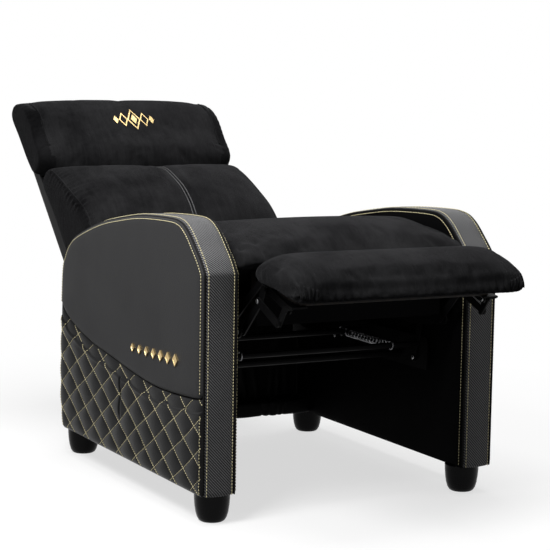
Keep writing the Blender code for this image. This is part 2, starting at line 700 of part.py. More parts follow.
def build_seat(seat_turn, at):
    rail_front = DECK_FRONT + TOUCH
    rail_rear = rail_front + SEAT_RAIL_LENGTH
    front_end = swing_seat_end((SWING_FRONT, SWING_HEIGHT))
    rear_end = swing_seat_end((SWING_FRONT + SWING_SPACING, SWING_HEIGHT))
    bosses = [
        (y, deck_height(y) - DECK - SEAT_RAIL_HEIGHT / 2)
        for y in (front_end[0] + BOSS_RADIUS * 8, rear_end[0] - BOSS_RADIUS * 4)
    ]
    for word, side in SIDES:
        outline = [
            *[polar(at["plate"], LINK_RADIUS * 1.5, a) for a in (270, 225, 180, 135, 95)],
            polar(at["control"], LINK_RADIUS * 1.4, 100),
            polar(bosses[0], BOSS_RADIUS * 1.4, 90), polar(bosses[1], BOSS_RADIUS * 1.4, 90),
            *[polar(rear_end, LINK_RADIUS * 1.5, a) for a in (60, 0, -60, -90)],
            polar(front_end, LINK_RADIUS * 1.5, -90),
        ]
        holes = [circle(at["plate"], PIN_RADIUS + RUNNING)]
        side_plate = plate(
            f"seat_plate_{word}", outline, *mirrored((SEAT_PLATE_IN, SEAT_PLATE_OUT), side), holes
        )
        for place in (front_end, rear_end):
            add_pin(side_plate, place, SEAT_PLATE_IN + OVERRUN, SWING_OUT + RUNNING, side)
        add_pin(side_plate, at["control"], SEAT_PLATE_OUT - OVERRUN, CONTROL_IN - RUNNING, side)
        for place in bosses:
            ends = mirrored((SEAT_FRAME_HALF + TOUCH, SEAT_PLATE_IN + OVERRUN), side)
            boolean(side_plate, cylinder(f"{side_plate.name}_boss", place, *ends, BOSS_RADIUS), "UNION")
        finish_part(side_plate, STEEL, seat_turn)

        rail_run = [(y, deck_height(y) - DECK - TOUCH) for y in (rail_front, rail_rear)]
        low_run = [(y, z - SEAT_RAIL_HEIGHT) for y, z in reversed(rail_run)]
        rail = plate(
            f"seat_side_rail_{word}", rail_run + low_run,
            *mirrored((SEAT_FRAME_HALF - SEAT_RAIL_WIDTH, SEAT_FRAME_HALF), side),
        )
        finish_part(rail, TIMBER, seat_turn)

    front_rail = box(
        "seat_front_rail",
        (-SEAT_FRAME_HALF, DECK_FRONT - FRONT_RAIL_DEPTH, FRONT_RAIL_BOTTOM),
        (SEAT_FRAME_HALF, DECK_FRONT, FRONT_RAIL_TOP),
    )
    finish_part(front_rail, TIMBER, seat_turn)

    across = SEAT_FRAME_HALF - SEAT_RAIL_WIDTH - TOUCH
    rear_top = deck_height(rail_rear - SEAT_RAIL_WIDTH) - DECK - TOUCH
    slope = math.tan(math.radians(SEAT_FALL)) * SEAT_RAIL_WIDTH
    rear_rail = plate(
        "seat_rear_rail",
        [(rail_rear - SEAT_RAIL_WIDTH, rear_top), (rail_rear, rear_top - slope),
         (rail_rear, rear_top - slope - SEAT_RAIL_HEIGHT),
         (rail_rear - SEAT_RAIL_WIDTH, rear_top - SEAT_RAIL_HEIGHT)],
        -across, across,
    )
    finish_part(rear_rail, TIMBER, seat_turn)

    panel_rear = DECK_FRONT - FRONT_RAIL_DEPTH - TOUCH
    low = FRONT_RAIL_BOTTOM - FRONT_PANEL_LIP
    panel = plate(
        "seat_front_panel",
        [(panel_rear, FRONT_RAIL_TOP), (panel_rear - FRONT_PANEL, FRONT_RAIL_TOP),
         (panel_rear - FRONT_PANEL, low), (panel_rear + FRONT_RAIL_DEPTH, low),
         (panel_rear + FRONT_RAIL_DEPTH, FRONT_RAIL_BOTTOM - TOUCH),
         (panel_rear, FRONT_RAIL_BOTTOM - TOUCH)],
        -SEAT_FRAME_HALF, SEAT_FRAME_HALF,
    )
    finish_part(panel, LEATHERETTE, seat_turn)

    deck_rear = SEAT_FRONT + SEAT_LENGTH + DECK_END_GAP
    top = [(y, deck_height(y)) for y in (DECK_FRONT + TOUCH, deck_rear)]
    deck = plate(
        "seat_deck", top + [(y, z - DECK) for y, z in reversed(top)], -SEAT_FRAME_HALF, SEAT_FRAME_HALF
    )
    finish_part(deck, CLOTH, seat_turn)


def soft_block(name, cuts, place):
    """A coarse cage cut evenly, each corner put in place by a rule, and rounded by subdivision."""
    bm = bmesh.new()
    bmesh.ops.create_cube(bm, size=2)
    for axis, count in enumerate(cuts):
        normal = Vector((axis == 0, axis == 1, axis == 2))
        for i in range(1, count):
            bmesh.ops.bisect_plane(
                bm, geom=[*bm.verts, *bm.edges, *bm.faces],
                plane_co=normal * (2 * i / count - 1), plane_no=normal,
            )
    for vertex in bm.verts:
        vertex.co = place(*vertex.co)
    obj = mesh_object(name, bm)
    soft = obj.modifiers.new("soft", "SUBSURF")
    soft.levels = 1
    soft.render_levels = 1
    obj.data.shade_smooth()
    return obj


def drawn_in(across, along, half, tuck, draw_in, level):
    """Half-width of a cushion: full at mid height, tucked at its seams, pulled in between its corners."""
    return across * (half - tuck * level**2 - draw_in * (1 - along**2))


def seat_cushion_place(u, v, w):
    share = (v + 1) / 2
    y = SEAT_FRONT + share * SEAT_LENGTH
    side_top, crown_top = (value * SEAT_HEIGHT for value in value_along(SEAT_TOP_SHARES, share))
    top = side_top + (crown_top - side_top) * (1 - abs(u)**3)
    step = DECK_FRONT + FRONT_RAIL_DEPTH
    base = FRONT_RAIL_TOP + NOSE_LIFT if y < step else deck_height(y)
    base += TOUCH
    z = base + (top - base) * (w + 1) / 2
    return (drawn_in(u, v, CUSHION_HALF, SEAT_TUCK, SEAT_DRAW_IN, w), y, z)


def footrest_place(u, v, w):
    share = (v + 1) / 2
    side_top, crown_top = value_along(FOOTREST_TOP_SHARES, share)
    height = FOOTREST_HEIGHT * side_top + FOOTREST_CROWN * crown_top * (1 - u**4)
    undercut = FOOTREST_UNDERCUT * (1 - w) / 2
    y = FOOTREST_REAR - FOOTREST_LENGTH + share * (FOOTREST_LENGTH - undercut)
    bulge = FOOTREST_CROWN / 2 * (1 - w**2) * (1 if v == 1 else -1 if v == -1 else 0)
    z = FOOTREST_BASE + TOUCH + height * (w + 1) / 2
    return (drawn_in(u, v, CUSHION_HALF, FOOTREST_TUCK, FOOTREST_DRAW_IN, w), y + bulge, z)


def build_footrest(rest_turn):
    """Laid out level round its pivot, which is the origin here."""
    axle = (0, 0)
    for word, side in SIDES:
        tip = polar(axle, BRACKET_ARM_LENGTH, BRACKET_ARM_ANGLE - FOOTREST_TILT)
        top = FOOTREST_BASE - FOOTREST_BOARD - TOUCH
        rear = -LINK_RADIUS - BRACKET_CLEAR
        front = rear - BRACKET_LENGTH
        seam = top - PLATE / 2
        outline = [
            (front, seam), (front, seam - PLATE),
            *[polar(axle, LINK_RADIUS, a) for a in (170, 200, 230)],
            *[polar(tip, LINK_RADIUS, a) for a in (240, 280, 320, 0)],
            *[polar(axle, LINK_RADIUS, a) for a in (0, 45)], (rear, seam),
        ]
        bracket = plate(f"footrest_bracket_{word}", outline, *mirrored((MAIN_IN, MAIN_OUT), side))
        ends = mirrored((MAIN_OUT - BRACKET_FLANGE, MAIN_OUT + OVERRUN / 2), side)
        flange = box(
            f"{bracket.name}_flange",
            (ends[0], front - OVERRUN, top - PLATE), (ends[1], rear + OVERRUN, top),
        )
        boolean(bracket, flange, "UNION")
        add_pin(bracket, axle, MAIN_OUT - OVERRUN, OUTER_IN - RUNNING, side)
        add_stub(bracket, tip, MAIN_IN + OVERRUN, LOWER_IN - TOUCH, side)
        finish_part(bracket, STEEL, rest_turn, keep_place=False)
    inset = FOOTREST_BOARD_INSET
    board = box(
        "footrest_board",
        (-SEAT_FRAME_HALF, FOOTREST_REAR - FOOTREST_LENGTH + inset, FOOTREST_BASE - FOOTREST_BOARD),
        (SEAT_FRAME_HALF, FOOTREST_REAR - FOOTREST_UNDERCUT - inset, FOOTREST_BASE),
    )
    finish_part(board, TIMBER, rest_turn, keep_place=False)
    cushion = soft_block("footrest_cushion", (8, 6, 2), footrest_place)
    finish_part(cushion, VELOUR, rest_turn, keep_place=False)


def build_linkage(turns, at):
    for word, side in SIDES:
        main = link(
            f"footrest_main_link_{word}", [at["plate"], at["lower"], at["knee"]],
            (MAIN_IN, MAIN_OUT), side, (),
        )
        add_pin(main, at["plate"], MAIN_IN + OVERRUN, SEAT_PLATE_OUT + RUNNING, side)
        add_pin(main, at["knee"], MAIN_OUT - OVERRUN, OUTER_IN - RUNNING, side)
        add_pin(main, at["lower"], MAIN_IN + OVERRUN, LOWER_OUT + RUNNING, side)
        finish_part(main, STEEL, turns["main"])

        outer = link(
            f"footrest_outer_link_{word}", [at["rest"], at["knee"], at["tail"]],
            (OUTER_IN, OUTER_OUT), side, (at["rest"], at["knee"]),
        )
        add_stub(outer, at["tail"], OUTER_IN + OVERRUN, CONTROL_IN - TOUCH, side)
        finish_part(outer, STEEL, turns["outer"])

        control = link(
            f"footrest_control_link_{word}", [at["control"], at["tail"]],
            (CONTROL_IN, CONTROL_OUT), side, (at["control"],),
        )
        add_stub(control, at["tail"], CONTROL_IN + OVERRUN, CONTROL_OUT + PIN_HEAD_THICK, side)
        finish_part(control, STEEL, turns["control"])

        lower = link(
            f"footrest_lower_link_{word}", [at["lower"], at["arm"]],
            (LOWER_IN, LOWER_OUT), side, (at["lower"],),
        )
        add_stub(lower, at["arm"], LOWER_IN + OVERRUN, LOWER_OUT + PIN_HEAD_THICK, side)
        finish_part(lower, STEEL, turns["lower"])


def back_depth(z):
    """The back frame's depth at a height above the hinge: full below its knee, thinner to the top."""
    share = min(max((z - BACK_KNEE) / (BACK_TOP - BACK_KNEE), 0), 1)
    return FRAME_DEPTH + (FRAME_TOP_DEPTH - FRAME_DEPTH) * share


def board_face(z):
    """How far the board that carries the back's cushions stands in front of the rear plane."""
    return back_depth(z) + TOUCH + BACK_BOARD


def from_rear(depth):
    return HINGE_SETBACK - depth


def cushion_sag(u):
    return HEADREST_SAG * (1 - u**2)


def back_cushion_place(u, v, w, low, high, rows, half, channel):
    """A point of a back cushion: u across, v up its height, w from its rear to its front."""
    share = (v + 1) / 2
    z = low + (high - low) * share
    side_front, crown_front = (value * BACK_CUSHION_DEPTH for value in value_along(rows, share))
    front = side_front + (crown_front - side_front) * (1 - abs(u)**2.5)
    if u == 0 and w == 1:
        front -= channel
    rear = board_face(z) + TOUCH
    depth = rear + (front - rear) * (w + 1) / 2
    return (drawn_in(u, v, half, BACK_TUCK, BACK_DRAW_IN, w), from_rear(depth), z)


def lower_cushion_place(u, v, w):
    low = LOWER_CUSHION_BOTTOM
    high = LOWER_CUSHION_TOP - cushion_sag(u) - LOWER_CUSHION_GAP
    half = CUSHION_HALF - LOWER_CUSHION_INSET
    return back_cushion_place(u, v, w, low, high, LOWER_CUSHION_SHARES, half, CHANNEL_DEPTH)


def headrest_place(u, v, w):
    low = HEADREST_BOTTOM - cushion_sag(u)
    return back_cushion_place(u, v, w, low, HEADREST_TOP, HEADREST_SHARES, CUSHION_HALF, 0)


def frame_outline(inset):
    """The back frame's side outline, upright: up the rear from the bottom, then down the front."""
    low, high = BACK_BOTTOM + inset, BACK_TOP - inset
    return [
        (from_rear(inset), low), (from_rear(inset), high), (from_rear(back_depth(high)), high),
        (from_rear(FRAME_DEPTH), BACK_KNEE), (from_rear(FRAME_DEPTH), low),
    ]


def build_cover(back_turn):
    """The rear cover: a shell with side walls, open at the front."""
    ring = frame_outline(0)
    bm = bmesh.new()
    corners = {side: [bm.verts.new((side * COVER_HALF, y, z)) for y, z in ring] for side in (-1, 1)}
    rear, top, bottom = 0, 1, len(ring) - 1
    for i in (rear, top, bottom):
        j = (i + 1) % len(ring)
        bm.faces.new((corners[-1][i], corners[-1][j], corners[1][j], corners[1][i]))
    for side in (-1, 1):
        bm.faces.new(corners[side])
    bmesh.ops.recalc_face_normals(bm, faces=bm.faces)
    cover = mesh_object("back_cover", bm)
    wall = cover.modifiers.new("wall", "SOLIDIFY")
    wall.thickness = COVER
    wall.offset = -1
    wall.use_even_offset = True
    finish_part(cover, LEATHERETTE, back_turn, keep_place=False)


def build_back(back_turn):
    for word, side in SIDES:
        stile = plate(
            f"back_stile_{word}", frame_outline(COVER + TOUCH),
            *mirrored((STILE_OUT - STILE_WIDTH, STILE_OUT), side),
        )
        finish_part(stile, TIMBER, back_turn, keep_place=False)
        bend = (from_rear(FRAME_DEPTH / 2), BACK_BOTTOM + LINK_RADIUS * 2)
        bar = plate(
            f"back_hinge_bracket_{word}",
            strap([(0, 0), bend, (bend[0], bend[1] + HINGE_BAR_LENGTH)], LINK_RADIUS * 1.5),
            *mirrored((BRACKET_IN, BRACKET_OUT), side), [circle((0, 0), PIN_RADIUS + RUNNING)],
        )
        finish_part(bar, STEEL, back_turn, keep_place=False)
    across = STILE_OUT - STILE_WIDTH - TOUCH
    for name, low in (
        ("back_bottom_rail", BACK_BOTTOM + COVER + TOUCH),
        ("back_top_rail", BACK_TOP - COVER - TOUCH - RAIL_WIDTH),
    ):
        front = from_rear(back_depth(low + RAIL_WIDTH))
        rail = box(name, (-across, front, low), (across, from_rear(COVER + TOUCH), low + RAIL_WIDTH))
        finish_part(rail, TIMBER, back_turn, keep_place=False)
    low, high = LOWER_CUSHION_BOTTOM, BACK_TOP
    board = plate(
        "back_board",
        [(from_rear(back_depth(z) + TOUCH), z) for z in (low, BACK_KNEE, high)]
        + [(from_rear(board_face(z)), z) for z in (high, BACK_KNEE, low)],
        -COVER_HALF, COVER_HALF,
    )
    finish_part(board, CLOTH, back_turn, keep_place=False)
    build_cover(back_turn)
    lower = soft_block("back_cushion_lower", (8, 8, 2), lower_cushion_place)
    finish_part(lower, VELOUR, back_turn, keep_place=False)
    headrest = soft_block("headrest_cushion", (8, 6, 2), headrest_place)
    finish_part(headrest, VELOUR, back_turn, keep_place=False)


def centre_on_floor():
    """Moves the whole chair so that the origin is under the middle of its outer box."""
    bpy.context.view_layer.update()
    graph = bpy.context.evaluated_depsgraph_get()
    corners = []
    for obj in parts.objects:
        if obj.type == "EMPTY":
            continue
        solid = obj.evaluated_get(graph)
        mesh = solid.to_mesh()
        corners += [solid.matrix_world @ vertex.co for vertex in mesh.vertices]
        solid.to_mesh_clear()
    low, high = min(c.y for c in corners), max(c.y for c in corners)
    shift = -(low + high) / 2
    for obj in [obj for obj in parts.objects if obj.parent is None]:
        obj.location.y += shift
    for obj in [obj for obj in cutters.objects if obj.parent is None]:
        obj.location.y += shift
    bpy.context.view_layer.update()
    print(f"outer box: depth {high - low:.4f}, height {max(c.z for c in corners):.4f}, shift {shift:.5f}")


def hang_cutters():
    """Each joining shape follows the piece that it is joined to."""
    for obj in parts.objects:
        for step in obj.modifiers:
            if step.type == "BOOLEAN" and obj.parent is not None:
                step.object.parent = obj.parent
                step.object.matrix_parent_inverse = obj.matrix_parent_inverse.copy()


def main():
    at = footrest_points()
    for word, side in SIDES:
        build_arm(word, side)
        for place in ("front", "rear"):
            build_foot(place, word, side)
    build_base()
    build_springs()
    build_swings()
    rear_end = swing_seat_end((SWING_FRONT + SWING_SPACING, SWING_HEIGHT))
    seat_turn = pivot("seat_pivot", (0, *rear_end), bpy.data.objects["swing_rear_pivot"])
    build_seat(seat_turn, at)
    cushion = soft_block("seat_cushion", (8, 8, 2), seat_cushion_place)
    finish_part(cushion, VELOUR, seat_turn)
    turns = {"main": pivot("footrest_main_pivot", (0, *at["plate"]), seat_turn)}
    turns["control"] = pivot("footrest_control_pivot", (0, *at["control"]), seat_turn)
    turns["outer"] = pivot("footrest_outer_pivot", (0, *at["knee"]), turns["main"])
    turns["lower"] = pivot("footrest_lower_pivot", (0, *at["lower"]), turns["main"])
    rest_turn = pivot("footrest_pivot", (0, *at["rest"]), turns["outer"], FOOTREST_TILT)
    build_linkage(turns, at)
    build_footrest(rest_turn)
    back_turn = pivot("back_pivot", (0, HINGE_DEPTH, HINGE_HEIGHT), None, -BACK_LEAN)
    build_back(back_turn)
    hang_cutters()
    centre_on_floor()
    for obj in parts.objects:
        if obj.type == "EMPTY":
            print(obj.name, [round(v, 5) for v in obj.matrix_world.translation])


clear_scene()
parts = new_collection("gaming_recliner")
cutters = new_collection("cutters")
main()
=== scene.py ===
# Gaming recliner, dressed for its studio picture: leatherette arms with quilted pockets,
# velour cushions, pale gold stitching and a dark steel mechanism. Metres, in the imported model's frame.
import json
import math

import bpy
import numpy as np
from mathutils import Matrix, Vector

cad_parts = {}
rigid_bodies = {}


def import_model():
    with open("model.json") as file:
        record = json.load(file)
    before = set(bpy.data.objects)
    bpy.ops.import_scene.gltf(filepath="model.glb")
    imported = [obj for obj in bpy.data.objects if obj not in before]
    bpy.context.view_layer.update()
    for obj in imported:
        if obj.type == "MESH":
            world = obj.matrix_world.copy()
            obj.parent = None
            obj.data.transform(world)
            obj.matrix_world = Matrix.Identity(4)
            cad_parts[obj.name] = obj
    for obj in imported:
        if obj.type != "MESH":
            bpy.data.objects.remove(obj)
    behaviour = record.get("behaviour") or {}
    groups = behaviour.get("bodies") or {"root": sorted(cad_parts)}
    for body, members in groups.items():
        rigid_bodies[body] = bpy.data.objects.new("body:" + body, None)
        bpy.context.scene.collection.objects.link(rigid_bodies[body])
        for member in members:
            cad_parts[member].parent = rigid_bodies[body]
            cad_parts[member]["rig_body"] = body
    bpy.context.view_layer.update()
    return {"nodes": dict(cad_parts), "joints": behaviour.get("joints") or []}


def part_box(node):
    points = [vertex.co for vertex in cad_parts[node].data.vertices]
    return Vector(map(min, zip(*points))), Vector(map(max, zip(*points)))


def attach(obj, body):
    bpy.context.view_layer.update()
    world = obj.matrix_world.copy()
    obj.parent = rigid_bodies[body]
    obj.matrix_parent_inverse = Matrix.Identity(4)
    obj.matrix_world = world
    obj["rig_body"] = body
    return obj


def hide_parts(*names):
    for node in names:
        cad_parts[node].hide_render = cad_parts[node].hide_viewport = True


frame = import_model()
nodes = frame["nodes"]
sides = (("left", 1), ("right", -1))
print("packed model loaded:", len(nodes), "nodes")


camera = {"place": (-1.9315, -3.7710, 0.9651), "turn": 0.4963, "tilt": 0.1176, "roll": 0.0158,
          "lens": 111.27, "sensor": 36, "farthest": 60}
lamps = {
    "key": {"place": (-1.2, -0.95, 1.75), "power": 36, "size": 0.7},
    "top": {"place": (0.0, -0.1, 3.1), "power": 72, "size": 1.9},
    "rim": {"place": (3.0, 1.2, 2.4), "power": 14, "size": 1.3},
}
studio = {"sky": 0.22, "aim": (0, -0.1, 0.45), "floor": 0.10, "floorSeen": 0.96, "floorRoughness": 0.9,
          "floorSize": 30, "nearShare": 0.66, "near": 0.75, "far": 1.70}


def placeCamera():
    turn, tilt, roll = camera["turn"], camera["tilt"], camera["roll"]
    ahead = Vector((math.sin(turn) * math.cos(tilt), math.cos(turn) * math.cos(tilt), -math.sin(tilt)))
    across = Vector((math.cos(turn), -math.sin(turn), 0))
    up = across.cross(ahead)
    right = across * math.cos(roll) + up * math.sin(roll)
    top = up * math.cos(roll) - across * math.sin(roll)
    bpy.ops.object.camera_add(location=camera["place"])
    view = bpy.context.object
    view.name = "studioCamera"
    view.matrix_world = Matrix((
        (right.x, top.x, -ahead.x, camera["place"][0]), (right.y, top.y, -ahead.y, camera["place"][1]),
        (right.z, top.z, -ahead.z, camera["place"][2]), (0, 0, 0, 1),
    ))
    view.data.sensor_width = camera["sensor"]
    view.data.lens = camera["lens"]
    view.data.clip_end = camera["farthest"]
    bpy.context.scene.camera = view


def addLamps():
    for word, lamp in lamps.items():
        bpy.ops.object.light_add(type="AREA", location=lamp["place"])
        light = bpy.context.object
        light.name = f"{word}Light"
        light.data.energy = lamp["power"]
        light.data.shape = "SQUARE"
        light.data.size = lamp["size"]
        towards = Vector(studio["aim"]) - Vector(lamp["place"])
        light.rotation_euler = towards.to_track_quat("-Z", "Y").to_euler()


def addNode(tree, kind, settings=None, **inputs):
    node = tree.nodes.new("ShaderNode" + kind)
    for key, value in (settings or {}).items():
        setattr(node, key, value)
    for key, value in inputs.items():
        node.inputs[key].default_value = value
    return node


def calc(tree, operation, *terms, clamp=False):
    # one Math node, fed with sockets or plain numbers
    node = addNode(tree, "Math", {"operation": operation, "use_clamp": clamp})
    for socket, term in zip(node.inputs, terms):
        if isinstance(term, (int, float)):
            socket.default_value = term
        else:
            tree.links.new(term, socket)
    return node.outputs[0]


def seenPlainly(tree):
    # 1 for what the camera sees, straight or in metal or glass
    path = addNode(tree, "LightPath")
    seen = path.outputs["Is Camera Ray"]
    for ray in ("Is Glossy Ray", "Is Transmission Ray"):
        seen = calc(tree, "ADD", seen, path.outputs[ray], clamp=True)
    return seen


def showMix(tree, share, first, second, output):
    mix = addNode(tree, "MixShader")
    for source, socket in zip((share, first.outputs[0], second.outputs[0]), mix.inputs):
        tree.links.new(source, socket)
    tree.links.new(mix.outputs[0], tree.nodes[output].inputs["Surface"])


def buildStudio():
    world = bpy.data.worlds.new("studioSky")
    bpy.context.scene.world = world
    world.use_nodes = True
    tree = world.node_tree
    sky, white = tree.nodes["Background"], addNode(tree, "Background")
    for shader, strength in ((sky, studio["sky"]), (white, 1)):
        shader.inputs["Color"].default_value = (1, 1, 1, 1)
        shader.inputs["Strength"].default_value = strength
    showMix(tree, seenPlainly(tree), sky, white, "World Output")
    addLamps()
    bpy.ops.mesh.primitive_plane_add(size=studio["floorSize"], location=(0, 0, 0))
    floor = bpy.context.object
    floor.name = "studioFloor"
    floor.data.materials.append(floorFinish())


def floorFinish():
    # a pale floor that keeps the shadow near the chair and fades into the white backdrop further out
    grey, seenGrey = (studio["floor"],) * 3, (studio["floorSeen"],) * 3
    finish, tree, shader = startFinish("paleFloor", grey, studio["floorRoughness"], specular=0.0)
    seen = seenPlainly(tree)
    tone = addNode(tree, "MixRGB", Color1=(*grey, 1), Color2=(*seenGrey, 1))
    tree.links.new(seen, tone.inputs["Fac"])
    tree.links.new(tone.outputs[0], shader.inputs["Base Color"])
    reach = addNode(tree, "VectorMath", {"operation": "LENGTH"})
    tree.links.new(addNode(tree, "TexCoord").outputs["Object"], reach.inputs[0])
    fade = spread(tree, reach.outputs["Value"], studio["nearShare"], 1.0, studio["near"], studio["far"])
    white = addNode(tree, "Emission", Strength=1.0)
    showMix(tree, calc(tree, "MULTIPLY", fade, seen), shader, white, "Material Output")
    return finish


def startFinish(name, colour, roughness, metallic=0.0, specular=0.5):
    finish = bpy.data.materials.new(name)
    finish.use_nodes = True
    shader = finish.node_tree.nodes["Principled BSDF"]
    shader.inputs["Base Color"].default_value = (*colour, 1)
    shader.inputs["Roughness"].default_value = roughness
    shader.inputs["Metallic"].default_value = metallic
    shader.inputs["Specular IOR Level"].default_value = specular
    finish.diffuse_color = (*colour, 1)
    return finish, finish.node_tree, shader


def patternPlace(tree, scale=(1, 1, 1)):
    mapping = addNode(tree, "Mapping", Scale=scale)
    tree.links.new(addNode(tree, "TexCoord").outputs["Object"], mapping.inputs["Vector"])
    return mapping.outputs[0]


def noiseOn(tree, place, scale, detail, roughness=0.5):
    noise = addNode(tree, "TexNoise", Scale=scale, Detail=detail, Roughness=roughness)
    tree.links.new(place, noise.inputs["Vector"])
    return noise.outputs["Fac"]


def waveOn(tree, place, settings, **inputs):
    wave = addNode(tree, "TexWave", settings, **inputs)
    tree.links.new(place, wave.inputs["Vector"])
    return wave.outputs["Fac"]


def spread(tree, source, low, high, fromLow=0.3, fromHigh=0.7):
    # a map range from a texture's value to a useful one
    node = addNode(tree, "MapRange")
    for key, value in (("From Min", fromLow), ("From Max", fromHigh), ("To Min", low), ("To Max", high)):
        node.inputs[key].default_value = value
    tree.links.new(source, node.inputs["Value"])
    return node.outputs[0]


def tint(tree, shader, factor, dark, light, start=0.3, end=0.7):
    ramp = addNode(tree, "ValToRGB")
    for stop, place, colour in zip(ramp.color_ramp.elements, (start, end), (dark, light)):
        stop.position = place
        stop.color = (*colour, 1)
    tree.links.new(factor, ramp.inputs[0])
    tree.links.new(ramp.outputs[0], shader.inputs["Base Color"])


def bumpFrom(tree, shader, heights, distance, strength):
    # adds the heights up and turns them into a bump
    total = heights[0]
    for height in heights[1:]:
        total = calc(tree, "ADD", total, height)
    bump = addNode(tree, "Bump", Distance=distance, Strength=strength)
    tree.links.new(total, bump.inputs["Height"])
    tree.links.new(bump.outputs[0], shader.inputs["Normal"])


def shade(colour, share):
    return tuple(part * share for part in colour)


leather = {"clouds": 3.2, "wear": 9.0, "wearSpread": 0.03, "pores": 540.0, "poreDepth": 0.7,
           "fine": 260.0, "fineDepth": 0.5, "relief": 0.0004, "strength": 0.5}


def leatheretteFinish(name, dark, light, roughness, shine):
    finish, tree, shader = startFinish(name, dark, roughness, specular=shine)
    place = patternPlace(tree)
    tint(tree, shader, noiseOn(tree, place, leather["clouds"], 2), dark, light)
    wear = noiseOn(tree, place, leather["wear"], 2)
    rough = spread(tree, wear, roughness - leather["wearSpread"], roughness + leather["wearSpread"])
    tree.links.new(rough, shader.inputs["Roughness"])
    pores = addNode(tree, "TexVoronoi", {"feature": "SMOOTH_F1"}, Scale=leather["pores"])
    tree.links.new(place, pores.inputs["Vector"])
    heights = [spread(tree, pores.outputs["Distance"], 0, leather["poreDepth"], 0, 1),
               spread(tree, noiseOn(tree, place, leather["fine"], 3), 0, leather["fineDepth"])]
    bumpFrom(tree, shader, heights, leather["relief"], leather["strength"])
    return finish


# each stripe has its period, its slant along the band and how much of it is edge
weave = {"rib": (0.0062, 0.95, 0.10), "thread": (0.0042, -1.4, 0.02), "threadLow": 0.78,
         "dark": (0.0065, 0.0065, 0.007), "light": (0.115, 0.115, 0.118), "dull": 0.60, "bright": 0.27,
         "soft": 30.0, "relief": 0.0006, "strength": 0.8}


def wovenBandFinish(name):
    # diagonal ribs broken into short threads, laid along the band's own length and width
    finish, tree, shader = startFinish(name, (0.02, 0.02, 0.021), 0.34, specular=0.18)
    split = addNode(tree, "SeparateXYZ")
    tree.links.new(addNode(tree, "TexCoord").outputs["UV"], split.inputs[0])

    def stripe(period, slant, edge):
        run = calc(tree, "MULTIPLY_ADD", split.outputs["Y"], slant, split.outputs["X"])
        wave = calc(tree, "PINGPONG", calc(tree, "DIVIDE", run, period), 0.5)
        return spread(tree, wave, 0, 1, edge, 0.5 - edge)

    thread = spread(tree, stripe(*weave["thread"]), weave["threadLow"], 1.0, 0, 1)
    height = calc(tree, "MULTIPLY", stripe(*weave["rib"]), thread)
    tint(tree, shader, height, weave["dark"], weave["light"])
    tree.links.new(spread(tree, height, weave["dull"], weave["bright"], 0, 1), shader.inputs["Roughness"])
    soft = spread(tree, noiseOn(tree, patternPlace(tree), weave["soft"], 2), 0, 0.5)
    bumpFrom(tree, shader, [height, soft], weave["relief"], weave["strength"])
    return finish


velour = {"sheen": 0.042, "sheenRoughness": 0.36, "sheenTint": (0.8, 0.8, 0.84, 1),
          "streaks": 11.0, "streakShare": 0.32, "clouds": 7.5, "cloudShare": 0.68, "from": 0.38, "to": 0.62,
          "pile": 700.0, "nap": 46.0, "napDepth": 1.8, "relief": 0.0009, "strength": 0.7}


def velourFinish(name, dark, light, brushing):
    # short pile: brushed streaks, soft clouds, and a sheen where the pile is seen from the side
    finish, tree, shader = startFinish(name, dark, 0.9, specular=0.01)
    shader.inputs["Sheen Weight"].default_value = velour["sheen"]
    shader.inputs["Sheen Roughness"].default_value = velour["sheenRoughness"]
    shader.inputs["Sheen Tint"].default_value = velour["sheenTint"]
    even, brushed = patternPlace(tree), patternPlace(tree, brushing)
    streaks = noiseOn(tree, brushed, velour["streaks"], 8, 0.72)
    clouds = spread(tree, noiseOn(tree, even, velour["clouds"], 6, 0.68), 0, velour["cloudShare"], 0, 1)
    both = calc(tree, "MULTIPLY_ADD", streaks, velour["streakShare"], clouds)
    tint(tree, shader, both, dark, light, velour["from"], velour["to"])
    nap = spread(tree, noiseOn(tree, brushed, velour["nap"], 6, 0.7), 0, velour["napDepth"])
    pile = noiseOn(tree, even, velour["pile"], 3, 0.75)
    bumpFrom(tree, shader, [pile, nap], velour["relief"], velour["strength"])
    return finish


# a soft noise moves the colour and the roughness between these shares, and a fine one stands up as grain
grains = {
    "thread": {"soft": (220.0, 2), "tint": (0.72, 1), "drift": (0, 0), "fine": (1600.0, 2),
               "relief": (0.0003, 0.5)},
    "metal": {"soft": (18.0, 5), "tint": (0.75, 1), "drift": (-0.08, 0.12), "fine": (240.0, 3),
              "relief": (0.0002, 0.3)},
    "plastic": {"soft": (40.0, 4), "tint": (1, 1.5), "drift": (-0.06, 0.10), "fine": (500.0, 2),
                "relief": (0.0002, 0.25)},
}


def grainedFinish(name, kind, colour, roughness, metallic=0.0, specular=0.5, stretch=(1, 1, 1)):
    grain = grains[kind]
    finish, tree, shader = startFinish(name, colour, roughness, metallic, specular)
    place = patternPlace(tree, stretch)
    soft = noiseOn(tree, place, *grain["soft"])
    tint(tree, shader, soft, *(shade(colour, share) for share in grain["tint"]))
    if any(grain["drift"]):
        rough = spread(tree, soft, *(roughness + step for step in grain["drift"]))
        tree.links.new(rough, shader.inputs["Roughness"])
    bumpFrom(tree, shader, [noiseOn(tree, place, *grain["fine"])], *grain["relief"])
    return finish


def timberFinish(name):
    # pine painted near-black as painted shade for the dark space under the seat, its rings still showing
    finish, tree, shader = startFinish(name, (0.010, 0.008, 0.007), 0.62, specular=0.12)
    place = patternPlace(tree, (1, 5, 5))
    rings = waveOn(tree, place, {"wave_type": "BANDS"}, Scale=9.0, Distortion=6.0, Detail=3.0)
    tint(tree, shader, rings, (0.006, 0.005, 0.0045), (0.014, 0.011, 0.009))
    bumpFrom(tree, shader, [rings], 0.0004, 0.4)
    return finish


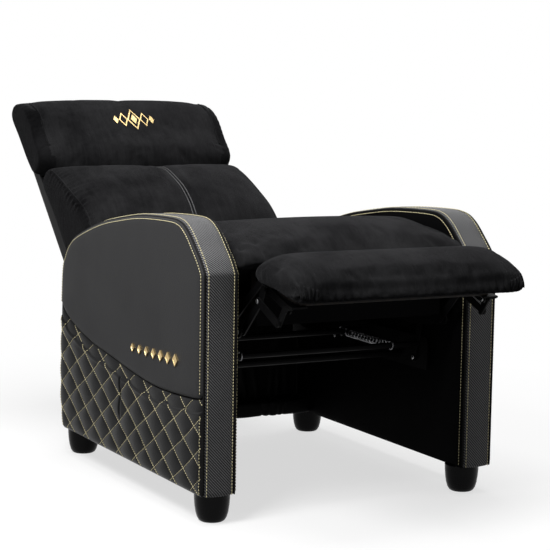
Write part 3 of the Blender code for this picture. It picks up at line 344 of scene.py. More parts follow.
def clothFinish(name, colour, threads):
    # a plain weave of crossed threads
    finish, tree, shader = startFinish(name, colour, 0.92, specular=0.04)
    place = patternPlace(tree)
    crossed = [waveOn(tree, place, {"bands_direction": axis}, Scale=threads, Distortion=0.4) for axis in "XY"]
    tint(tree, shader, noiseOn(tree, place, 12.0, 3), shade(colour, 0.6), colour)
    bumpFrom(tree, shader, crossed, 0.0005, 0.6)
    return finish


finishes = {
    "plain": leatheretteFinish("plainLeatherette", (0.028, 0.028, 0.029), (0.033, 0.033, 0.034), 0.42, 0.03),
    "quilt": leatheretteFinish("quiltLeatherette", (0.0075, 0.0075, 0.0078), (0.0125, 0.0125, 0.0130), 0.30, 0.04),
    "dark": leatheretteFinish("darkLeatherette", (0.007, 0.007, 0.0074), (0.011, 0.011, 0.0115), 0.42, 0.03),
    # inner is the plain leatherette painted near-black: painted shade on the arms' inner faces and on the panel under
    # the seat's nose
    "inner": leatheretteFinish("innerPaintedShadeLeatherette", (0.0018, 0.0018, 0.0020), (0.0034, 0.0034, 0.0036), 0.60, 0.01),
    "band": wovenBandFinish("ribbedLeatherette"),
    "velour": velourFinish("blackVelour", (0.0058, 0.0058, 0.0062), (0.0168, 0.0168, 0.0176), (9, 1.1, 1.1)),
    "boxing": velourFinish("boxingVelour", (0.0028, 0.0028, 0.0030), (0.0085, 0.0085, 0.0090), (1.2, 6, 1.2)),
    "gold": grainedFinish("paleGoldThread", "thread", (0.76, 0.68, 0.40), 0.5, specular=0.4),
    "grey": grainedFinish("charcoalThread", "thread", (0.050, 0.050, 0.052), 0.5, specular=0.4),
    "trim": grainedFinish("goldTrim", "metal", (0.68, 0.50, 0.23), 0.28, 1.0),
    "enamel": grainedFinish("blackEnamel", "metal", (0.0028, 0.0028, 0.0030), 0.46, specular=0.04),
    "zinc": grainedFinish("zincWire", "metal", (0.24, 0.24, 0.25), 0.34, 1.0, stretch=(1, 8, 1)),
    "bolt": grainedFinish("boltSteel", "metal", (0.42, 0.42, 0.43), 0.32, 1.0),
    "timber": timberFinish("pinePaintedShade"),
    "deck": clothFinish("blackDeckCloth", (0.006, 0.006, 0.0065), 380.0),
    "felt": clothFinish("blackDustCloth", (0.004, 0.004, 0.004), 520.0),
    "foot": grainedFinish("footPlastic", "plastic", (0.0016, 0.0016, 0.0018), 0.26, specular=0.07),
}


def deselectAll():
    if bpy.context.object and bpy.context.object.mode != "OBJECT":
        bpy.ops.object.mode_set(mode="OBJECT")
    bpy.ops.object.select_all(action="DESELECT")


def makeActive(piece):
    deselectAll()
    piece.select_set(True)
    bpy.context.view_layer.objects.active = piece


def linkPiece(name, mesh):
    piece = bpy.data.objects.new(name, mesh)
    bpy.context.scene.collection.objects.link(piece)
    return piece


def readAll(items, what, kind=float):
    # one property of three numbers, of all vertices or faces
    found = np.empty(len(items) * 3, kind)
    items.foreach_get(what, found)
    return found.reshape(-1, 3)


def pointsOf(piece):
    return readAll(piece.data.vertices, "co")


def normalsOf(piece):
    return readAll(piece.data.vertices, "normal", np.float32).astype(float)


def setPoints(piece, places):
    piece.data.vertices.foreach_set("co", np.ascontiguousarray(places, float).ravel())
    piece.data.update()


def layGrid(name, columns, rows, place):
    # a flat grid, its points then put in place: u runs along its columns and v up its rows
    deselectAll()
    bpy.ops.mesh.primitive_grid_add(x_subdivisions=columns, y_subdivisions=rows, size=2)
    piece = bpy.context.object
    piece.name = piece.data.name = name
    flat = pointsOf(piece)
    setPoints(piece, place((flat[:, 0] + 1) / 2, (flat[:, 1] + 1) / 2))
    return piece


def scaleUv(piece, width, length):
    layer = piece.data.uv_layers.active.data
    found = np.empty(len(layer) * 2, np.float32)
    layer.foreach_get("uv", found)
    found = found.reshape(-1, 2) * (width, length)
    layer.foreach_set("uv", found.ravel().astype(np.float32))


def tidyMesh(piece, fillEnds=False):
    # doubles merged, ends closed where asked, faces turned outwards
    makeActive(piece)
    bpy.ops.object.mode_set(mode="EDIT")
    bpy.ops.mesh.select_mode(type="VERT")
    bpy.ops.mesh.select_all(action="SELECT")
    bpy.ops.mesh.remove_doubles(threshold=0.00001)
    if fillEnds:
        bpy.ops.mesh.select_all(action="DESELECT")
        bpy.ops.mesh.select_non_manifold()
        bpy.ops.mesh.fill_holes(sides=0)
        bpy.ops.mesh.select_all(action="SELECT")
    bpy.ops.mesh.normals_make_consistent(inside=False)
    bpy.ops.object.mode_set(mode="OBJECT")


def faceAwayFrom(piece, inside):
    # turns an open sheet's faces away from a point on its inner side
    faces = piece.data.polygons
    if ((readAll(faces, "center") - np.array(inside)) * readAll(faces, "normal")).sum() < 0:
        makeActive(piece)
        bpy.ops.object.mode_set(mode="EDIT")
        bpy.ops.mesh.select_all(action="SELECT")
        bpy.ops.mesh.flip_normals()
        bpy.ops.object.mode_set(mode="OBJECT")


def applyStep(piece, kind, **settings):
    makeActive(piece)
    step = piece.modifiers.new(kind.lower(), kind)
    for key, value in settings.items():
        setattr(step, key, value)
    bpy.ops.object.modifier_apply(modifier=step.name)


def thicken(piece, inside, thickness):
    faceAwayFrom(piece, inside)
    applyStep(piece, "SOLIDIFY", thickness=thickness, offset=-1)


def roundEdges(piece, width, angle):
    applyStep(piece, "BEVEL", width=width, segments=2, limit_method="ANGLE", angle_limit=math.radians(angle))


def finishPiece(piece, finish, body, replaced=()):
    piece.data.materials.clear()
    piece.data.materials.append(finishes[finish])
    makeActive(piece)
    bpy.ops.object.shade_smooth()
    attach(piece, body)
    if replaced:
        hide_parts(*replaced)


def fadeOut(distance, reach):
    # 1 at an edge, nearly 0 well inside it
    return np.exp(-distance / reach)


def fadeIn(distance, reach):
    return 1 - np.exp(-distance / reach)


def bell(value, width):
    return np.exp(-(value / width) ** 2)


def risen(values, low, high):
    # 0 below low, 1 above high, smooth in between
    share = np.clip((values - low) / (high - low), 0, 1)
    return share * share * (3 - 2 * share)


def smoothRun(points, steps):
    # a Catmull-Rom run through the points
    points = np.array(points, float)
    ends = np.vstack([points[:1], points, points[-1:]])
    run = []
    for a, b, c, d in zip(ends, ends[1:], ends[2:], ends[3:]):
        bend, twist = 2 * a - 5 * b + 4 * c - d, 3 * b - a - 3 * c + d
        for step in range(steps):
            t = step / steps
            run.append(0.5 * (2 * b + (c - a) * t + bend * t**2 + twist * t**3))
    run.append(points[-1])
    return np.array(run)


def lengthsAlong(points):
    return np.concatenate([[0], np.cumsum(np.linalg.norm(np.diff(points, axis=0), axis=1))])


def readAt(wanted, along, values):
    # the values at some lengths along a run
    return np.stack([np.interp(wanted, along, column) for column in values.T], axis=1)


def evenRun(points, step):
    # the same run with its points evenly spaced
    points = np.asarray(points, float)
    along = lengthsAlong(points)
    wanted = np.linspace(0, along[-1], max(int(round(along[-1] / step)), 2) + 1)
    return readAt(wanted, along, points)


def inwards(run):
    # unit vectors to the right-hand side of a run in the side plane, which is inwards on an arm
    along = np.gradient(run, axis=0)
    along /= np.linalg.norm(along, axis=1)[:, None] + 1e-12
    return np.stack([along[:, 1], -along[:, 0]], axis=1)


def edgeDistance(points, loop):
    # each point's distance to a closed loop in the side plane
    nearest = np.full(len(points), np.inf)
    for a, b in zip(loop, np.roll(loop, -1, axis=0)):
        span = b - a
        share = np.clip(((points - a) @ span) / (span @ span + 1e-15), 0, 1)
        gap = np.linalg.norm(points - (a + share[:, None] * span), axis=1)
        nearest = np.minimum(nearest, gap)
    return nearest


def unbrokenParts(mask):
    steps = np.flatnonzero(mask)
    return np.split(steps, np.flatnonzero(np.diff(steps) > 1) + 1)


def sweepTube(name, path, radius, around=8):
    # a round welt along a path in space
    path = np.asarray(path, float)
    along = np.gradient(path, axis=0)
    along /= np.linalg.norm(along, axis=1)[:, None]
    first = np.cross(along, (1.0, 0.0, 0.0))
    weak = np.linalg.norm(first, axis=1) < 0.2
    first[weak] = np.cross(along[weak], (0.0, 0.0, 1.0))
    first /= np.linalg.norm(first, axis=1)[:, None]
    second = np.cross(along, first)
    last = len(path) - 1

    def place(u, v):
        i = np.clip(np.rint(u * last).astype(int), 0, last)
        angle = v * 2 * math.pi
        return path[i] + radius * (first[i] * np.cos(angle)[:, None] + second[i] * np.sin(angle)[:, None])

    tube = layGrid(name, last, around, place)
    tidyMesh(tube, fillEnds=True)
    return tube


stitch = {"length": 0.0060, "gap": 0.0009, "radius": 0.00100, "rise": 0.0006, "look": 0.002}


def stitchBead():
    # one stitch: a small faceted bead, longer than it is wide
    deselectAll()
    bpy.ops.mesh.primitive_ico_sphere_add(subdivisions=1, radius=1)
    bead = bpy.context.object
    bpy.ops.transform.resize(value=(stitch["length"] / 2, stitch["radius"], stitch["radius"]))
    bpy.ops.object.transform_apply(location=False, rotation=False, scale=True)
    points = pointsOf(bead)
    faces = np.array([face.vertices[:] for face in bead.data.polygons])
    bpy.data.objects.remove(bead)
    return points, faces


beadPoints, beadFaces = stitchBead()


def sewRows(name, rows, finish, body):
    # rows holds (path, normals) pairs; a copy of the bead is laid at each stitch
    allPoints, allFaces, count = [], [], 0
    spacing = stitch["length"] + stitch["gap"]
    for path, normals in rows:
        path, normals = np.asarray(path, float), np.asarray(normals, float)
        along = lengthsAlong(path)
        if along[-1] < spacing:
            continue
        middles = np.arange(spacing / 2, along[-1], spacing)
        run = readAt(middles + stitch["look"], along, path) - readAt(middles - stitch["look"], along, path)
        run /= np.linalg.norm(run, axis=1)[:, None]
        across = np.cross(readAt(middles, along, normals), run)
        across /= np.linalg.norm(across, axis=1)[:, None] + 1e-12
        out = np.cross(run, across)
        placed = (readAt(middles, along, path) + out * stitch["rise"])[:, None, :]
        for axis, direction in enumerate((run, across, out)):
            placed = placed + beadPoints[None, :, axis, None] * direction[:, None, :]
        allPoints.append(placed.reshape(-1, 3))
        starts = (count + np.arange(len(middles)) * len(beadPoints))[:, None, None]
        allFaces.append((beadFaces[None] + starts).reshape(-1, 3))
        count += len(middles) * len(beadPoints)
    mesh = bpy.data.meshes.new(name)
    mesh.from_pydata(np.concatenate(allPoints).tolist(), [], np.concatenate(allFaces).tolist())
    finishPiece(linkPiece(name, mesh), finish, body)
    print(name, len(allPoints), "rows,", count // len(beadPoints), "stitches")


bandLow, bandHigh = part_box("arm_band_left")
arm = {
    "front": bandLow.y, "depth": bandHigh.y - bandLow.y, "bottom": bandLow.z, "height": bandHigh.z,
    "middle": bandLow.y + (bandHigh.y - bandLow.y) / 2, "bandOuter": bandHigh.x, "bandInner": bandLow.x,
    "outer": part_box("arm_outer_panel_left")[1].x, "inner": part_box("arm_inner_panel_left")[0].x,
    "slotReveal": 0.026, "seam": 0.0022, "step": 0.006,
}
armTopShares = [
    (0.000, 0.837), (0.024, 0.877), (0.052, 0.912), (0.100, 0.966), (0.150, 0.995), (0.225, 1.000),
    (0.394, 0.991), (0.533, 0.969), (0.679, 0.937), (0.833, 0.883), (0.914, 0.840), (0.963, 0.777),
    (0.988, 0.697), (1.000, 0.399), (1.000, 0.203), (0.980, 0.104),
]
quiltLineShares = [
    (0.000, 0.430), (0.064, 0.419), (0.189, 0.410), (0.319, 0.410), (0.456, 0.427),
    (0.600, 0.452), (0.752, 0.478), (0.912, 0.530), (0.990, 0.585),
]


def armPlace(shares):
    return [(arm["front"] + y * arm["depth"], z * arm["height"]) for y, z in shares]


topRun = smoothRun(armPlace(armTopShares), 6)
quiltRun = smoothRun(armPlace(quiltLineShares), 6)
armRun = evenRun(np.vstack([
    [(topRun[0, 0], arm["bottom"])], topRun, [(topRun[-1, 0], arm["bottom"])],
]), arm["step"])


def quiltTop(y):
    return np.interp(y, quiltRun[:, 0], quiltRun[:, 1])


def mouthHeight(y):
    return quiltTop(y) - arm["slotReveal"]


def rearAt(z):
    rear = armRun[armRun[:, 0] > arm["front"] + arm["depth"] * 0.6][::-1]
    return np.interp(z, rear[:, 1], rear[:, 0])


def movedIn(distance):
    return armRun + inwards(armRun) * distance


def inSpace(run, x):
    return np.column_stack([np.broadcast_to(x, len(run)), run[:, 0], run[:, 1]])


def facing(side, count):
    return np.tile((side, 0.0, 0.0), (count, 1))


# the hem gives the steps in and up by which the band turns under the arm, front and rear
band = {"hem": [(0.010, 0.0006), (0.004, 0.0006), (0.001, 0.002)], "columns": 28, "step": 0.0045,
        "crown": 0.0026, "crownReach": 0.018, "edgeDrop": 0.0042, "edgeReach": 0.0028,
        "wave": 0.0005, "waveReach": 0.01, "thickness": 0.004}


def buildBand(word, side):
    front, rear = armRun[0], armRun[-1]
    path = evenRun(np.vstack([
        [(front[0] + y, front[1] + z) for y, z in band["hem"]], armRun[1:-1],
        [(rear[0] - y, rear[1] + z) for y, z in band["hem"][::-1]],
    ]), band["step"])
    inward = inwards(path)
    last = len(path) - 1
    width = arm["bandOuter"] - arm["bandInner"]

    def place(u, v):
        i = np.rint(v * last).astype(int)
        edge = np.minimum(u, 1 - u) * width
        lift = band["crown"] * fadeIn(edge, band["crownReach"])
        lift -= band["edgeDrop"] * fadeOut(edge, band["edgeReach"])
        lift += band["wave"] * np.sin(path[i, 0] * 31 + path[i, 1] * 23) * fadeIn(edge, band["waveReach"])
        return np.column_stack([side * (arm["bandInner"] + width * u), path[i] - inward[i] * lift[:, None]])

    piece = layGrid(f"armBand_{word}", band["columns"], last, place)
    scaleUv(piece, width * side, band["step"] * last)
    inside = (side * (arm["bandInner"] + arm["bandOuter"]) / 2, arm["middle"], arm["height"] * 0.4)
    thicken(piece, inside, band["thickness"])
    finishPiece(piece, "band", "base", (f"arm_band_{word}",))


panels = {
    "outer": {"name": "armPanel", "set": -0.0005, "drop": -0.0062, "crown": 0.0032, "rings": 26,
              "thickness": 0.0085, "inside": (0, 0.45), "finish": "plain"},
    # the inner panel's near-black finish is painted shade
    "inner": {"name": "armInnerPanel", "set": 0.0004, "drop": 0.0060, "crown": -0.0014, "rings": 24,
              "thickness": 0.006, "inside": (2, 0.35), "finish": "inner"},
}
panelReach = {"drop": 0.0045, "crown": 0.09}


def panelX(which, edge):
    # a panel's face at a distance from its edge: it dips at the welt and swells towards its middle
    spec = panels[which]
    dip = spec["drop"] * fadeOut(edge, panelReach["drop"])
    return arm[which] + spec["set"] + dip + spec["crown"] * fadeIn(edge, panelReach["crown"])


def buildPanel(which, word, side, loop):
    # a padded panel: its edge loop drawn in ring by ring to a point, and lifted by its distance from the edge
    spec = panels[which]
    centre, count = loop.mean(axis=0), len(loop)

    def place(u, v):
        i = np.rint(u * count).astype(int) % count
        share = (v**1.7)[:, None]
        flat = loop[i] * (1 - share) + centre * share
        return np.column_stack([side * panelX(which, edgeDistance(flat, loop)), flat])

    piece = layGrid(f"{spec['name']}_{word}", count, spec["rings"], place)
    tidyMesh(piece)
    thicken(piece, (side * spec["inside"][0], arm["middle"], spec["inside"][1]), spec["thickness"])
    finishPiece(piece, spec["finish"], "base", (f"arm_{which}_panel_{word}",))


def outerLoop():
    # the arm's outline above the quilting's top line
    edgeRun = movedIn(arm["seam"])
    above = edgeRun[edgeRun[:, 1] > quiltTop(edgeRun[:, 0]) + 0.002]
    lower = np.linspace(above[-1, 0], above[0, 0], int(arm["depth"] / 0.010))[1:-1]
    return np.vstack([above, np.column_stack([lower, quiltTop(lower)])])


quilt = {"y": arm["front"] + 0.138, "z": 0.215, "across": 0.0515, "up": 0.0333, "puff": 0.0052, "lines": 30,
         "columns": 330, "margin": 0.002, "thickness": 0.0030,
         "divider": arm["front"] + 0.435, "dividerLow": 0.165, "dividerFade": 0.004}
pocket = {"set": 0.0030, "edgeDrop": 0.0055, "edgeReach": 0.0040, "puffReach": 0.012,
          "hem": 0.0022, "hemAt": 0.007, "hemWidth": 0.005, "hemReach": 0.01,
          "dividerDrop": 0.0036, "dividerWidth": 0.0032, "rows": 88, "fill": 0.7}
strip = {"set": 0.0062, "puffShare": 0.8, "puffReach": 0.008, "topDrop": 0.0062, "topReach": 0.0030,
         "endDrop": 0.004, "endReach": 0.004, "below": 0.012, "rows": 16, "fill": 0.6}


def quiltWarp(y, z):
    # hand-cut cloth never lies dead straight
    return 0.0035 * np.sin(8 * z + 6 * y + 1), 0.0028 * np.sin(15 * y + 2) + 0.0015 * np.sin(34 * y)


def quiltPuff(y, z):
    # 0 along the quilting lines and 1 at a diamond's middle, or nearly so
    shiftY, shiftZ = quiltWarp(y, z)
    p = (y + shiftY - quilt["y"]) / quilt["across"]
    q = (z + shiftZ - quilt["z"]) / quilt["up"]
    first, second = np.sin(math.pi * ((p + q) / 2)), np.sin(math.pi * ((p - q) / 2))
    return np.sqrt(np.abs(first) * np.abs(second) + 0.004) - 0.063


def pocketX(y, z):
    # the pocket leaf's outer face, away from the chair's middle plane
    top, bottom = mouthHeight(y) - z, z - arm["bottom"]
    ends = np.minimum(y - arm["front"], rearAt(z) - y)
    edge = np.maximum(np.minimum(np.minimum(top, bottom), ends), 0)
    x = arm["outer"] - pocket["set"] - pocket["edgeDrop"] * fadeOut(edge, pocket["edgeReach"])
    x = x + quilt["puff"] * quiltPuff(y, z) * fadeIn(edge, pocket["puffReach"])
    hem = pocket["hem"] * bell(top - pocket["hemAt"], pocket["hemWidth"])
    x = x + hem * fadeIn(np.maximum(ends, 0), pocket["hemReach"])
    above = 1 / (1 + np.exp(-(z - quilt["dividerLow"]) / quilt["dividerFade"]))
    return x - pocket["dividerDrop"] * bell(y - quilt["divider"], pocket["dividerWidth"]) * above


def stripX(y, z):
    # the quilted strip above the pocket's mouth, a little further in
    top = np.maximum(quiltTop(y) - z, 0)
    ends = np.maximum(np.minimum(y - arm["front"], rearAt(z) - y), 0)
    puff = strip["puffShare"] * quilt["puff"] * quiltPuff(y, z) * fadeIn(np.minimum(top, ends), strip["puffReach"])
    drop = strip["topDrop"] * fadeOut(top, strip["topReach"])
    return arm["outer"] - strip["set"] + puff - drop - strip["endDrop"] * fadeOut(ends, strip["endReach"])


def pocketBottom(y):
    return np.full_like(y, arm["bottom"] + 0.0005)


def stripBottom(y):
    return mouthHeight(y) - strip["below"]


def stripTop(y):
    return quiltTop(y) + 0.001


def buildQuiltSheet(name, side, spec, lowAt, highAt, xAt, replaced=()):
    inset = 2 * quilt["margin"]

    def place(u, v):
        y = arm["front"] + quilt["margin"] + u * (arm["depth"] - inset)
        z = lowAt(y) + v * (highAt(y) - lowAt(y))
        y = arm["front"] + quilt["margin"] + u * (rearAt(z) - arm["front"] - inset)
        return np.column_stack([side * xAt(y, z), y, z])

    piece = layGrid(name, quilt["columns"], spec["rows"], place)
    thicken(piece, (0, arm["middle"], 0.2), quilt["thickness"])
    finishPiece(piece, "quilt", "base", replaced)


keepOff = {"ends": 0.004, "foot": 0.003, "mouth": 0.001, "top": 0.0035}


def quiltLines(side):
    # both families of quilting lines, cut where the cloth ends, laid on the leaf or on the strip
    rows = []
    flatY = np.arange(arm["front"] - 0.05, arm["front"] + arm["depth"] + 0.05, 0.002)
    for family in (1, -1):
        for k in range(-quilt["lines"], quilt["lines"] + 1):
            flatZ = quilt["z"] + family * quilt["up"] * (2 * k - (flatY - quilt["y"]) / quilt["across"])
            y, z = flatY, flatZ
            for _ in range(4):
                shiftY, shiftZ = quiltWarp(y, z)
                y, z = flatY - shiftY, flatZ - shiftZ
            inY = (y > arm["front"] + keepOff["ends"]) & (y < rearAt(z) - keepOff["ends"])
            onLeaf = inY & (z > arm["bottom"] + keepOff["foot"]) & (z < mouthHeight(y) - keepOff["mouth"])
            onStrip = inY & (z > mouthHeight(y) + keepOff["mouth"]) & (z < quiltTop(y) - keepOff["top"])
            for mask, xAt in ((onLeaf, pocketX), (onStrip, stripX)):
                for part in unbrokenParts(mask):
                    if len(part) > 4:
                        path = np.column_stack([side * xAt(y[part], z[part]), y[part], z[part]])
                        rows.append((path, facing(side, len(part))))
    return rows


seam = {"row": 0.0085, "bandRow": 0.0052, "bandLift": 0.0012, "footGap": 0.004,
        "aboveQuilt": 0.004, "belowMouth": 0.003,
        "welt": 0.0024, "weltOut": 0.0020, "weltStep": 0.007, "weltTuck": 0.012}


def seamRows(side):
    # rows beside the seams: on the outer panel and the quilt, on both edges of the band, on the inner panel
    rows = []
    run = movedIn(seam["row"])
    run = run[run[:, 1] > arm["bottom"] + seam["footGap"]]
    y, z = run[:, 0], run[:, 1]
    onPanel = z > quiltTop(y) + seam["aboveQuilt"]
    onLeaf = z < mouthHeight(y) - seam["belowMouth"]
    x = np.where(onPanel, panelX("outer", seam["row"] - arm["seam"]), pocketX(y, z))
    for mask in (onPanel, onLeaf):
        for part in unbrokenParts(mask):
            if len(part) > 4:
                rows.append((inSpace(run[part], side * x[part]), facing(side, len(part))))
    bandRun = movedIn(-seam["bandLift"])
    outward = np.column_stack([np.zeros(len(bandRun)), -inwards(armRun)])
    for place in (arm["bandOuter"] - seam["bandRow"], arm["bandInner"] + seam["bandRow"]):
        rows.append((inSpace(bandRun, side * place), outward))
    rows.append((inSpace(run, side * panelX("inner", seam["row"] - arm["seam"])), facing(-side, len(run))))
    return rows


def buildWelts(word, side):
    floor = arm["bottom"] + seam["welt"] + 0.0004
    run = movedIn(arm["seam"])
    run = run[run[:, 1] > floor + 0.004]
    tuck = [(seam["weltTuck"], 0), (0.003, 0.0004)]
    under = [(run[0, 0] + y, floor + z) for y, z in tuck]
    over = [(run[-1, 0] - y, floor + z) for y, z in tuck[::-1]]
    run = evenRun(smoothRun(np.vstack([under, run, over]), 2), seam["weltStep"])
    for edge, x in (("outer", arm["bandOuter"] + seam["weltOut"]), ("inner", arm["bandInner"] - seam["weltOut"])):
        welt = sweepTube(f"armWelt_{edge}_{word}", inSpace(run, side * x), seam["welt"])
        finishPiece(welt, "dark", "base")


# a row of plain lozenges that grow smaller towards the rear; rim, step and sink shape each tablet's face
trim = {"count": 7, "first": 0.027, "last": 0.019, "from": 0.124, "to": 0.354, "z": 0.341, "fall": -0.026,
        "width": 0.92, "height": 1.05, "depth": 0.0030, "out": 0.0029, "rim": 0.09, "step": 0.03, "sink": -0.3}


def buildLozenge(name, place, width, height, depth):
    # a flat four-sided tablet with a low rim
    deselectAll()
    bpy.ops.mesh.primitive_cylinder_add(vertices=4, radius=0.5, depth=1)
    piece = bpy.context.object
    piece.name = piece.data.name = name
    bpy.ops.object.mode_set(mode="EDIT")
    bpy.ops.mesh.select_mode(type="FACE")
    bpy.ops.mesh.select_all(action="DESELECT")
    bpy.ops.object.mode_set(mode="OBJECT")
    for face in piece.data.polygons:
        face.select = face.normal.z > 0.9
    bpy.ops.object.mode_set(mode="EDIT")
    bpy.ops.mesh.inset(thickness=trim["rim"], depth=0)
    bpy.ops.mesh.inset(thickness=trim["step"], depth=trim["sink"])
    bpy.ops.object.mode_set(mode="OBJECT")
    piece.data.transform(Matrix.Diagonal((width, height, depth, 1)))
    piece.data.transform(place)
    makeActive(piece)
    bpy.ops.object.shade_smooth_by_angle(angle=math.radians(20))
    return piece


def buildTrim(word, side):
    length = trim["to"] - trim["from"]
    for i in range(trim["count"]):
        share = i / (trim["count"] - 1)
        y = arm["front"] + trim["from"] + length * share
        z = trim["z"] + trim["fall"] * (share - 0.5) * length
        size = trim["first"] + (trim["last"] - trim["first"]) * share
        out = side * (arm["outer"] + trim["out"])
        place = Matrix(((0, 0, side, out), (-side, 0, 0, y), (0, 1, 0, z), (0, 0, 0, 1)))
        name = f"armTrim_{word}_{i + 1}"
        piece = buildLozenge(name, place, size * trim["width"], size * trim["height"], trim["depth"])
        piece.data.materials.append(finishes["trim"])
        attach(piece, "base")


def buildArm(word, side):
    buildBand(word, side)
    buildPanel("outer", word, side, outerLoop())
    buildPanel("inner", word, side, movedIn(arm["seam"]))
    buildWelts(word, side)
    buildQuiltSheet(f"armPocket_{word}", side, pocket, pocketBottom, mouthHeight, pocketX, (f"arm_pocket_{word}",))
    buildQuiltSheet(f"armPocketStrip_{word}", side, strip, stripBottom, stripTop, stripX)
    sewRows(f"armStitches_{word}", seamRows(side) + quiltLines(side), "gold", "base")
    buildTrim(word, side)
    print("arm made:", word)


# shares of the foot's radius and height, from its top edge down to its sole
footShares = [(0.985, 1.0), (1.0, 0.985), (1.0, 0.955), (0.99, 0.93), (0.985, 0.80), (0.955, 0.55),
              (0.90, 0.32), (0.82, 0.15), (0.72, 0.045), (0.63, 0.006), (0.59, 0.0)]
foot = {"outline": np.array([(0.0, 1.0), *footShares, (0.0, 0.0)]), "around": 48, "edge": 0.0008, "edgeAngle": 35}


def buildFoot(place, word):
    node = f"foot_{place}_{word}"
    low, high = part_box(node)
    centre, radius, height = (low + high) / 2, (high.x - low.x) / 2, high.z - low.z
    rows = len(foot["outline"]) - 1

    def placeAt(u, v):
        share = foot["outline"][np.rint(v * rows).astype(int)]
        angle = u * 2 * math.pi
        return np.column_stack([
            centre.x + radius * share[:, 0] * np.cos(angle), centre.y + radius * share[:, 0] * np.sin(angle),
            low.z + height * share[:, 1],
        ])

    piece = layGrid(f"foot_{place}_{word}_turned", foot["around"], rows, placeAt)
    tidyMesh(piece)
    roundEdges(piece, foot["edge"], foot["edgeAngle"])
    finishPiece(piece, "foot", "base", (node,))


rail = {"seed": 7, "folds": 15, "margin": 0.02, "lean": 0.35, "depth": 0.0030, "width": 0.0045,
        "round": 0.32, "wave": 0.0012, "columns": 280, "around": 40}


def buildRearRail():
    # leatherette pulled round the timber in loose gathers
    low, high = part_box("rear_rail")
    halfDepth, halfHeight = (high.y - low.y) / 2, (high.z - low.z) / 2
    middle = (low + high) / 2
    rng = np.random.default_rng(rail["seed"])
    folds = np.sort(rng.uniform(low.x + rail["margin"], high.x - rail["margin"], rail["folds"]))
    strength = rng.uniform(0.4, 1.0, rail["folds"])
    lean = rng.uniform(-rail["lean"], rail["lean"], rail["folds"])

    def place(u, v):
        x = low.x + u * (high.x - low.x)
        angle = v * 2 * math.pi
        c, s = np.cos(angle), np.sin(angle)
        y = np.sign(c) * np.abs(c) ** rail["round"] * halfDepth
        z = np.sign(s) * np.abs(s) ** rail["round"] * halfHeight
        dip = np.zeros_like(x)
        for at, amount, slant in zip(folds, strength, lean):
            dip += amount * rail["depth"] * bell(x - at - slant * z, rail["width"])
        dip -= rail["wave"] * np.sin(x * 57) * np.sin(x * 23 + 1)
        size = 1 - dip / halfHeight * 0.6
        return np.column_stack([x, middle.y + y * size, middle.z + z * size])

    piece = layGrid("rearRailCover", rail["columns"], rail["around"], place)
    tidyMesh(piece, fillEnds=True)
    finishPiece(piece, "dark", "base", ("rear_rail",))


# below the notch the cloth is wide enough to reach both arms
apron = {"seed": 11, "low": 0.070, "high": 0.350, "half": 0.2742, "back": 0.1990, "wider": 0.0142, "notch": 0.266,
         "forward": 0.120, "turn": 0.010, "folds": 19, "foldDepth": 0.0028, "foldLow": 0.004, "foldGrowth": 0.012,
         "wave": 0.0010, "columns": 260, "rows": 84, "thickness": 0.0016}


def buildRearApron():
    # the cloth that closes the chair's rear: drawn on to the rail in gathers, and turned forwards
    # under the seat at its top
    rng = np.random.default_rng(apron["seed"])
    at = np.linspace(-0.94, 0.94, apron["folds"]) * apron["half"] + rng.uniform(-0.006, 0.006, apron["folds"])
    amount = rng.uniform(0.5, 1.0, apron["folds"])
    lean = rng.uniform(-0.05, 0.05, apron["folds"])

    def place(u, v):
        height = apron["high"] - apron["low"]
        run = v * (height + apron["forward"])
        forward = apron["turn"] * np.log1p(np.exp((run - height) / apron["turn"]))
        z = apron["low"] + run - forward
        v = np.clip(run / height, 0, 1)
        x = (2 * u - 1) * (apron["half"] + apron["wider"] / (1 + np.exp((z - apron["notch"]) / 0.0012)))
        y = apron["back"] - forward
        for middle, size, slant in zip(at, amount, lean):
            fold = bell(x - middle - slant * v, apron["foldLow"] + apron["foldGrowth"] * v)
            y = y - apron["foldDepth"] * size * fold * (1 - 0.75 * v)
        y = y + apron["wave"] * np.sin(x * 37 + v * 2) * np.sin(v * math.pi)
        return np.column_stack([x, y, z])

    sheet = layGrid("rearApronCloth", apron["columns"], apron["rows"], place)
    thicken(sheet, (0, 0, 0.2), apron["thickness"])
    finishPiece(sheet, "dark", "base")


tail = {"half": 0.262, "front": (0.209, 0.351), "rear": (0.326, 0.334), "sag": 0.006, "wave": 0.0006,
        "columns": 120, "rows": 20, "thickness": 0.0016}


def buildBackTail():
    # the cloth under the back's lower end, from beside its hinge to its bottom rail
    def place(u, v):
        y = tail["front"][0] + v * (tail["rear"][0] - tail["front"][0])
        z = tail["front"][1] + v * (tail["rear"][1] - tail["front"][1]) - tail["sag"] * np.sin(v * math.pi)
        x = (2 * u - 1) * tail["half"]
        return np.column_stack([x, y, z + tail["wave"] * np.sin(x * 61) * np.sin(v * math.pi)])

    sheet = layGrid("backTailCloth", tail["columns"], tail["rows"], place)
    thicken(sheet, (0, 0.27, 0.6), tail["thickness"])
    finishPiece(sheet, "dark", "back")


# the back is worked on upright, as if its hinge had turned it by its lean
backJoint = next(joint for joint in frame["joints"] if joint["name"] == "back_recline")
back = {"lean": 45.7, "setback": 0.1377, "low": 0.060, "high": 0.725, "knee": 0.480, "deep": 0.050, "thin": 0.022,
        "half": 0.2692}
cover = {"corner": 0.014, "crown": 0.006, "crownReach": 0.03, "seam": 0.155, "seamDepth": 0.0030,
         "seamWidth": 0.0028, "wave": 0.0010, "endDrop": 0.006, "endDraw": 0.010, "endReach": 0.004,
         "columns": 150, "rows": 130, "thickness": 0.0022, "stitchRows": (-0.163, -0.147, 0.147, 0.163)}
backPlace = Matrix.Translation(backJoint["pos_m"]) @ Matrix.Rotation(-math.radians(back["lean"]), 4, "X")
backUpright = np.array(backPlace.inverted())
backWorld = np.array(backPlace)


def toUpright(points):
    return points @ backUpright[:3, :3].T + backUpright[:3, 3]


def turnUpright(normals):
    return normals @ backUpright[:3, :3].T


